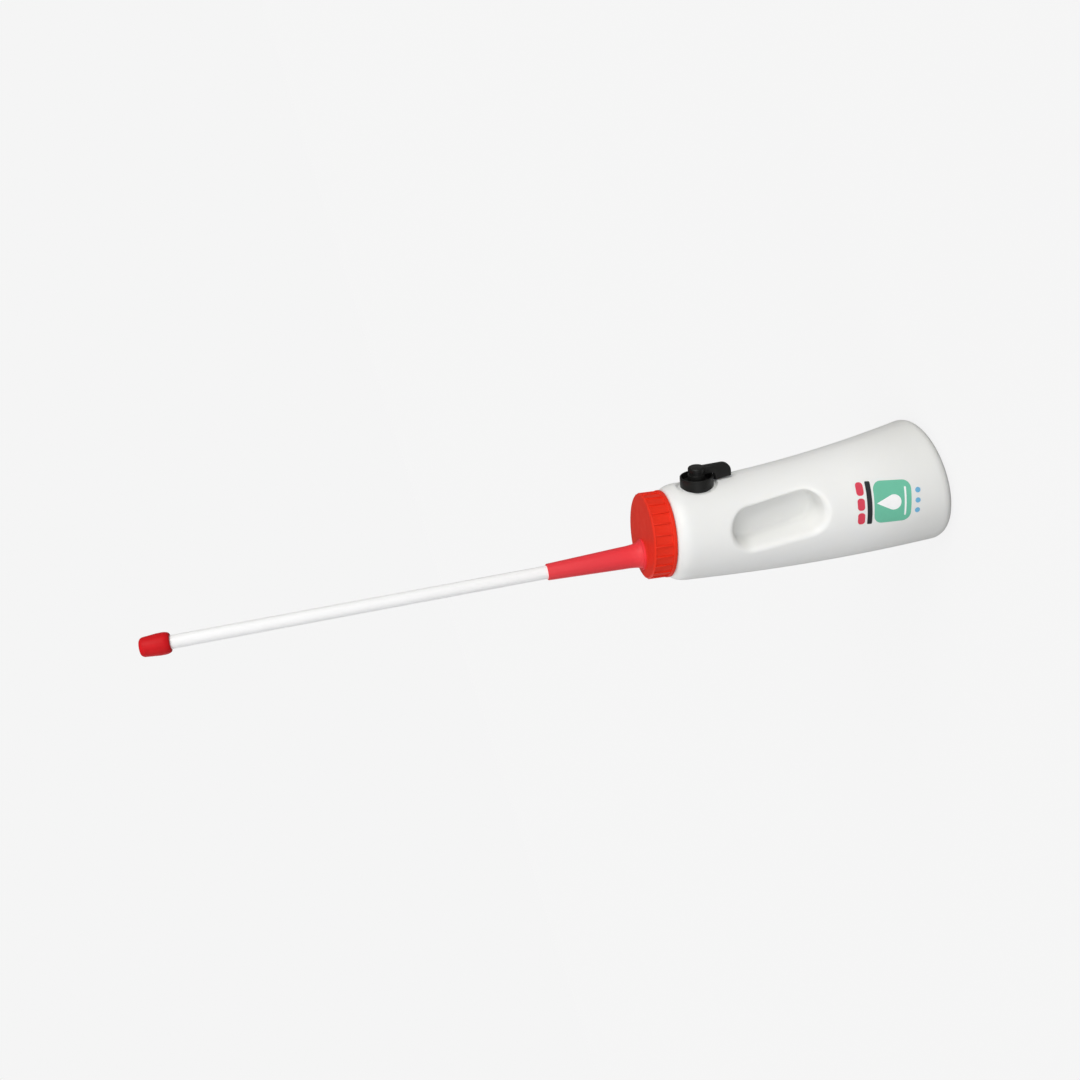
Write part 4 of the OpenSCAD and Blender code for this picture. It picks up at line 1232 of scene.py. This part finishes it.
class DRENCHER_OT_stage(bpy.types.Operator):
    """Set up the floor, the soft light, the background and the camera"""

    bl_idname = "drencher.stage"
    bl_label = "Stage"

    def execute(self, context):
        scene = context.scene
        stage = scene.drencher.stage
        scene.view_settings.view_transform = "Standard"

        bm = bmesh.new()
        bmesh.ops.create_circle(bm, cap_ends=True, segments=64, radius=stage.floor_d / 2)
        # The floor stays just clear of the bottle's base
        floor_gap = 0.3 * MM
        bmesh.ops.translate(bm, vec=(0, 0, -floor_gap), verts=bm.verts)
        floor = add_mesh("floor", bm, floor_paper(stage))

        scene.world = studio_world(stage)
        # Each lamp's name, where it shines from, its spread in degrees and its share in highlights
        for name, source, spread, gloss in (
                ("front", (0.25, -0.95, 0.15), 22, 0.5),
                ("key", (0.88, -0.45, 0.12), 50, 1),
                ("low_fill", (-0.65, -0.75, 0.15), 60, 1),
                ("back_fill", (-0.85, 0.45, 0.25), 50, 1)):
            lamp = bpy.data.lights.new(name, "SUN")
            lamp.specular_factor = gloss
            lamp.energy = getattr(stage, name)
            lamp.color = getattr(stage, name + "_tint")
            lamp.angle = math.radians(spread)
            lamp_object = add_object(name, lamp)
            lamp_object.rotation_mode = "QUATERNION"
            lamp_object.rotation_quaternion = Vector(source).to_track_quat("Z", "Y")

        camera_data = bpy.data.cameras.new("camera")
        camera_data.sensor_width = 36
        camera_data.lens = stage.lens
        camera_data.clip_start = 0.01
        camera_data.clip_end = 200
        camera = add_object("camera", camera_data)
        camera.location = stage.camera_at
        camera.rotation_euler = stage.camera_turn
        scene.camera = camera
        return {"FINISHED"}


def studio_world(stage):
    """A pale background for the camera, an even soft light, and a dimmer room in reflections."""
    world = bpy.data.worlds.new("studio")
    tree = empty_tree(world)
    path = add_node(tree, "ShaderNodeLightPath").outputs
    soft = add_node(tree, "ShaderNodeMix", {
        MIX_SHARE: path["Is Glossy Ray"], MIX_FLOAT_A: stage.ambient, MIX_FLOAT_B: stage.shine})
    lit = add_node(tree, "ShaderNodeBackground", {
        "Color": opaque((1, 1, 1)), "Strength": soft.outputs[MIXED_FLOAT]})
    shown = add_node(tree, "ShaderNodeBackground", {"Color": opaque(stage.background), "Strength": 1.0})
    both = add_node(tree, "ShaderNodeMixShader", {
        SHADER_SHARE: path["Is Camera Ray"], SHADER_A: lit.outputs["Background"],
        SHADER_B: shown.outputs["Background"]})
    add_node(tree, "ShaderNodeOutputWorld", {"Surface": both.outputs["Shader"]})
    return world


def floor_paper(stage):
    """Seamless pale studio paper that keeps a soft shadow and fades into the background."""
    material = bpy.data.materials.new("studio_paper")
    tree = empty_tree(material)
    paper = add_node(tree, "ShaderNodeBsdfDiffuse", {"Color": opaque(stage.paper)})
    glow = add_node(tree, "ShaderNodeEmission", {
        "Color": opaque(stage.background), "Strength": stage.floor_glow})
    path = add_node(tree, "ShaderNodeLightPath").outputs
    seen = add_node(tree, "ShaderNodeMath", {
        FACTOR_A: path["Is Camera Ray"], FACTOR_B: stage.glow_share}, operation="MULTIPLY")
    both = add_node(tree, "ShaderNodeMixShader", {
        SHADER_SHARE: seen.outputs["Value"], SHADER_A: paper.outputs["BSDF"],
        SHADER_B: glow.outputs["Emission"]})
    add_node(tree, "ShaderNodeOutputMaterial", {"Surface": both.outputs["Shader"]})
    return material


class DRENCHER_PT_panel(bpy.types.Panel):
    """Lists the steps that build the drencher's looks"""

    bl_idname = "DRENCHER_PT_panel"
    bl_label = "Livestock drencher"
    bl_space_type = "VIEW_3D"
    bl_region_type = "UI"
    bl_category = "Drencher"

    def draw(self, context):
        for operator in OPERATORS:
            self.layout.operator(operator.bl_idname)


GROUPS = (BottleSizes, CapSizes, ProbeSizes, ValveSizes, InnerSizes, PrintSizes, Finishes, StageSettings,
          DrencherSettings)
OPERATORS = (DRENCHER_OT_stage, DRENCHER_OT_bottle, DRENCHER_OT_print, DRENCHER_OT_cap, DRENCHER_OT_spout,
             DRENCHER_OT_probe, DRENCHER_OT_valve, DRENCHER_OT_inner)
CLASSES = GROUPS + OPERATORS + (DRENCHER_PT_panel,)


def register():
    """Registers the classes and hangs the settings on the scene."""
    for cls in CLASSES:
        bpy.utils.register_class(cls)
    bpy.types.Scene.drencher = PointerProperty(type=DrencherSettings)


def unregister():
    """Takes the settings and the classes away again."""
    del bpy.types.Scene.drencher
    for cls in reversed(CLASSES):
        bpy.utils.unregister_class(cls)


def main():
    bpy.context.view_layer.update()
    register()
    bpy.ops.drencher.stage()
    bpy.ops.drencher.bottle()
    bpy.ops.drencher.print()
    bpy.ops.drencher.cap()
    bpy.ops.drencher.spout()
    bpy.ops.drencher.probe()
    bpy.ops.drencher.valve()
    bpy.ops.drencher.inner()
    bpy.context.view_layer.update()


if __name__ == "__main__":
    main()
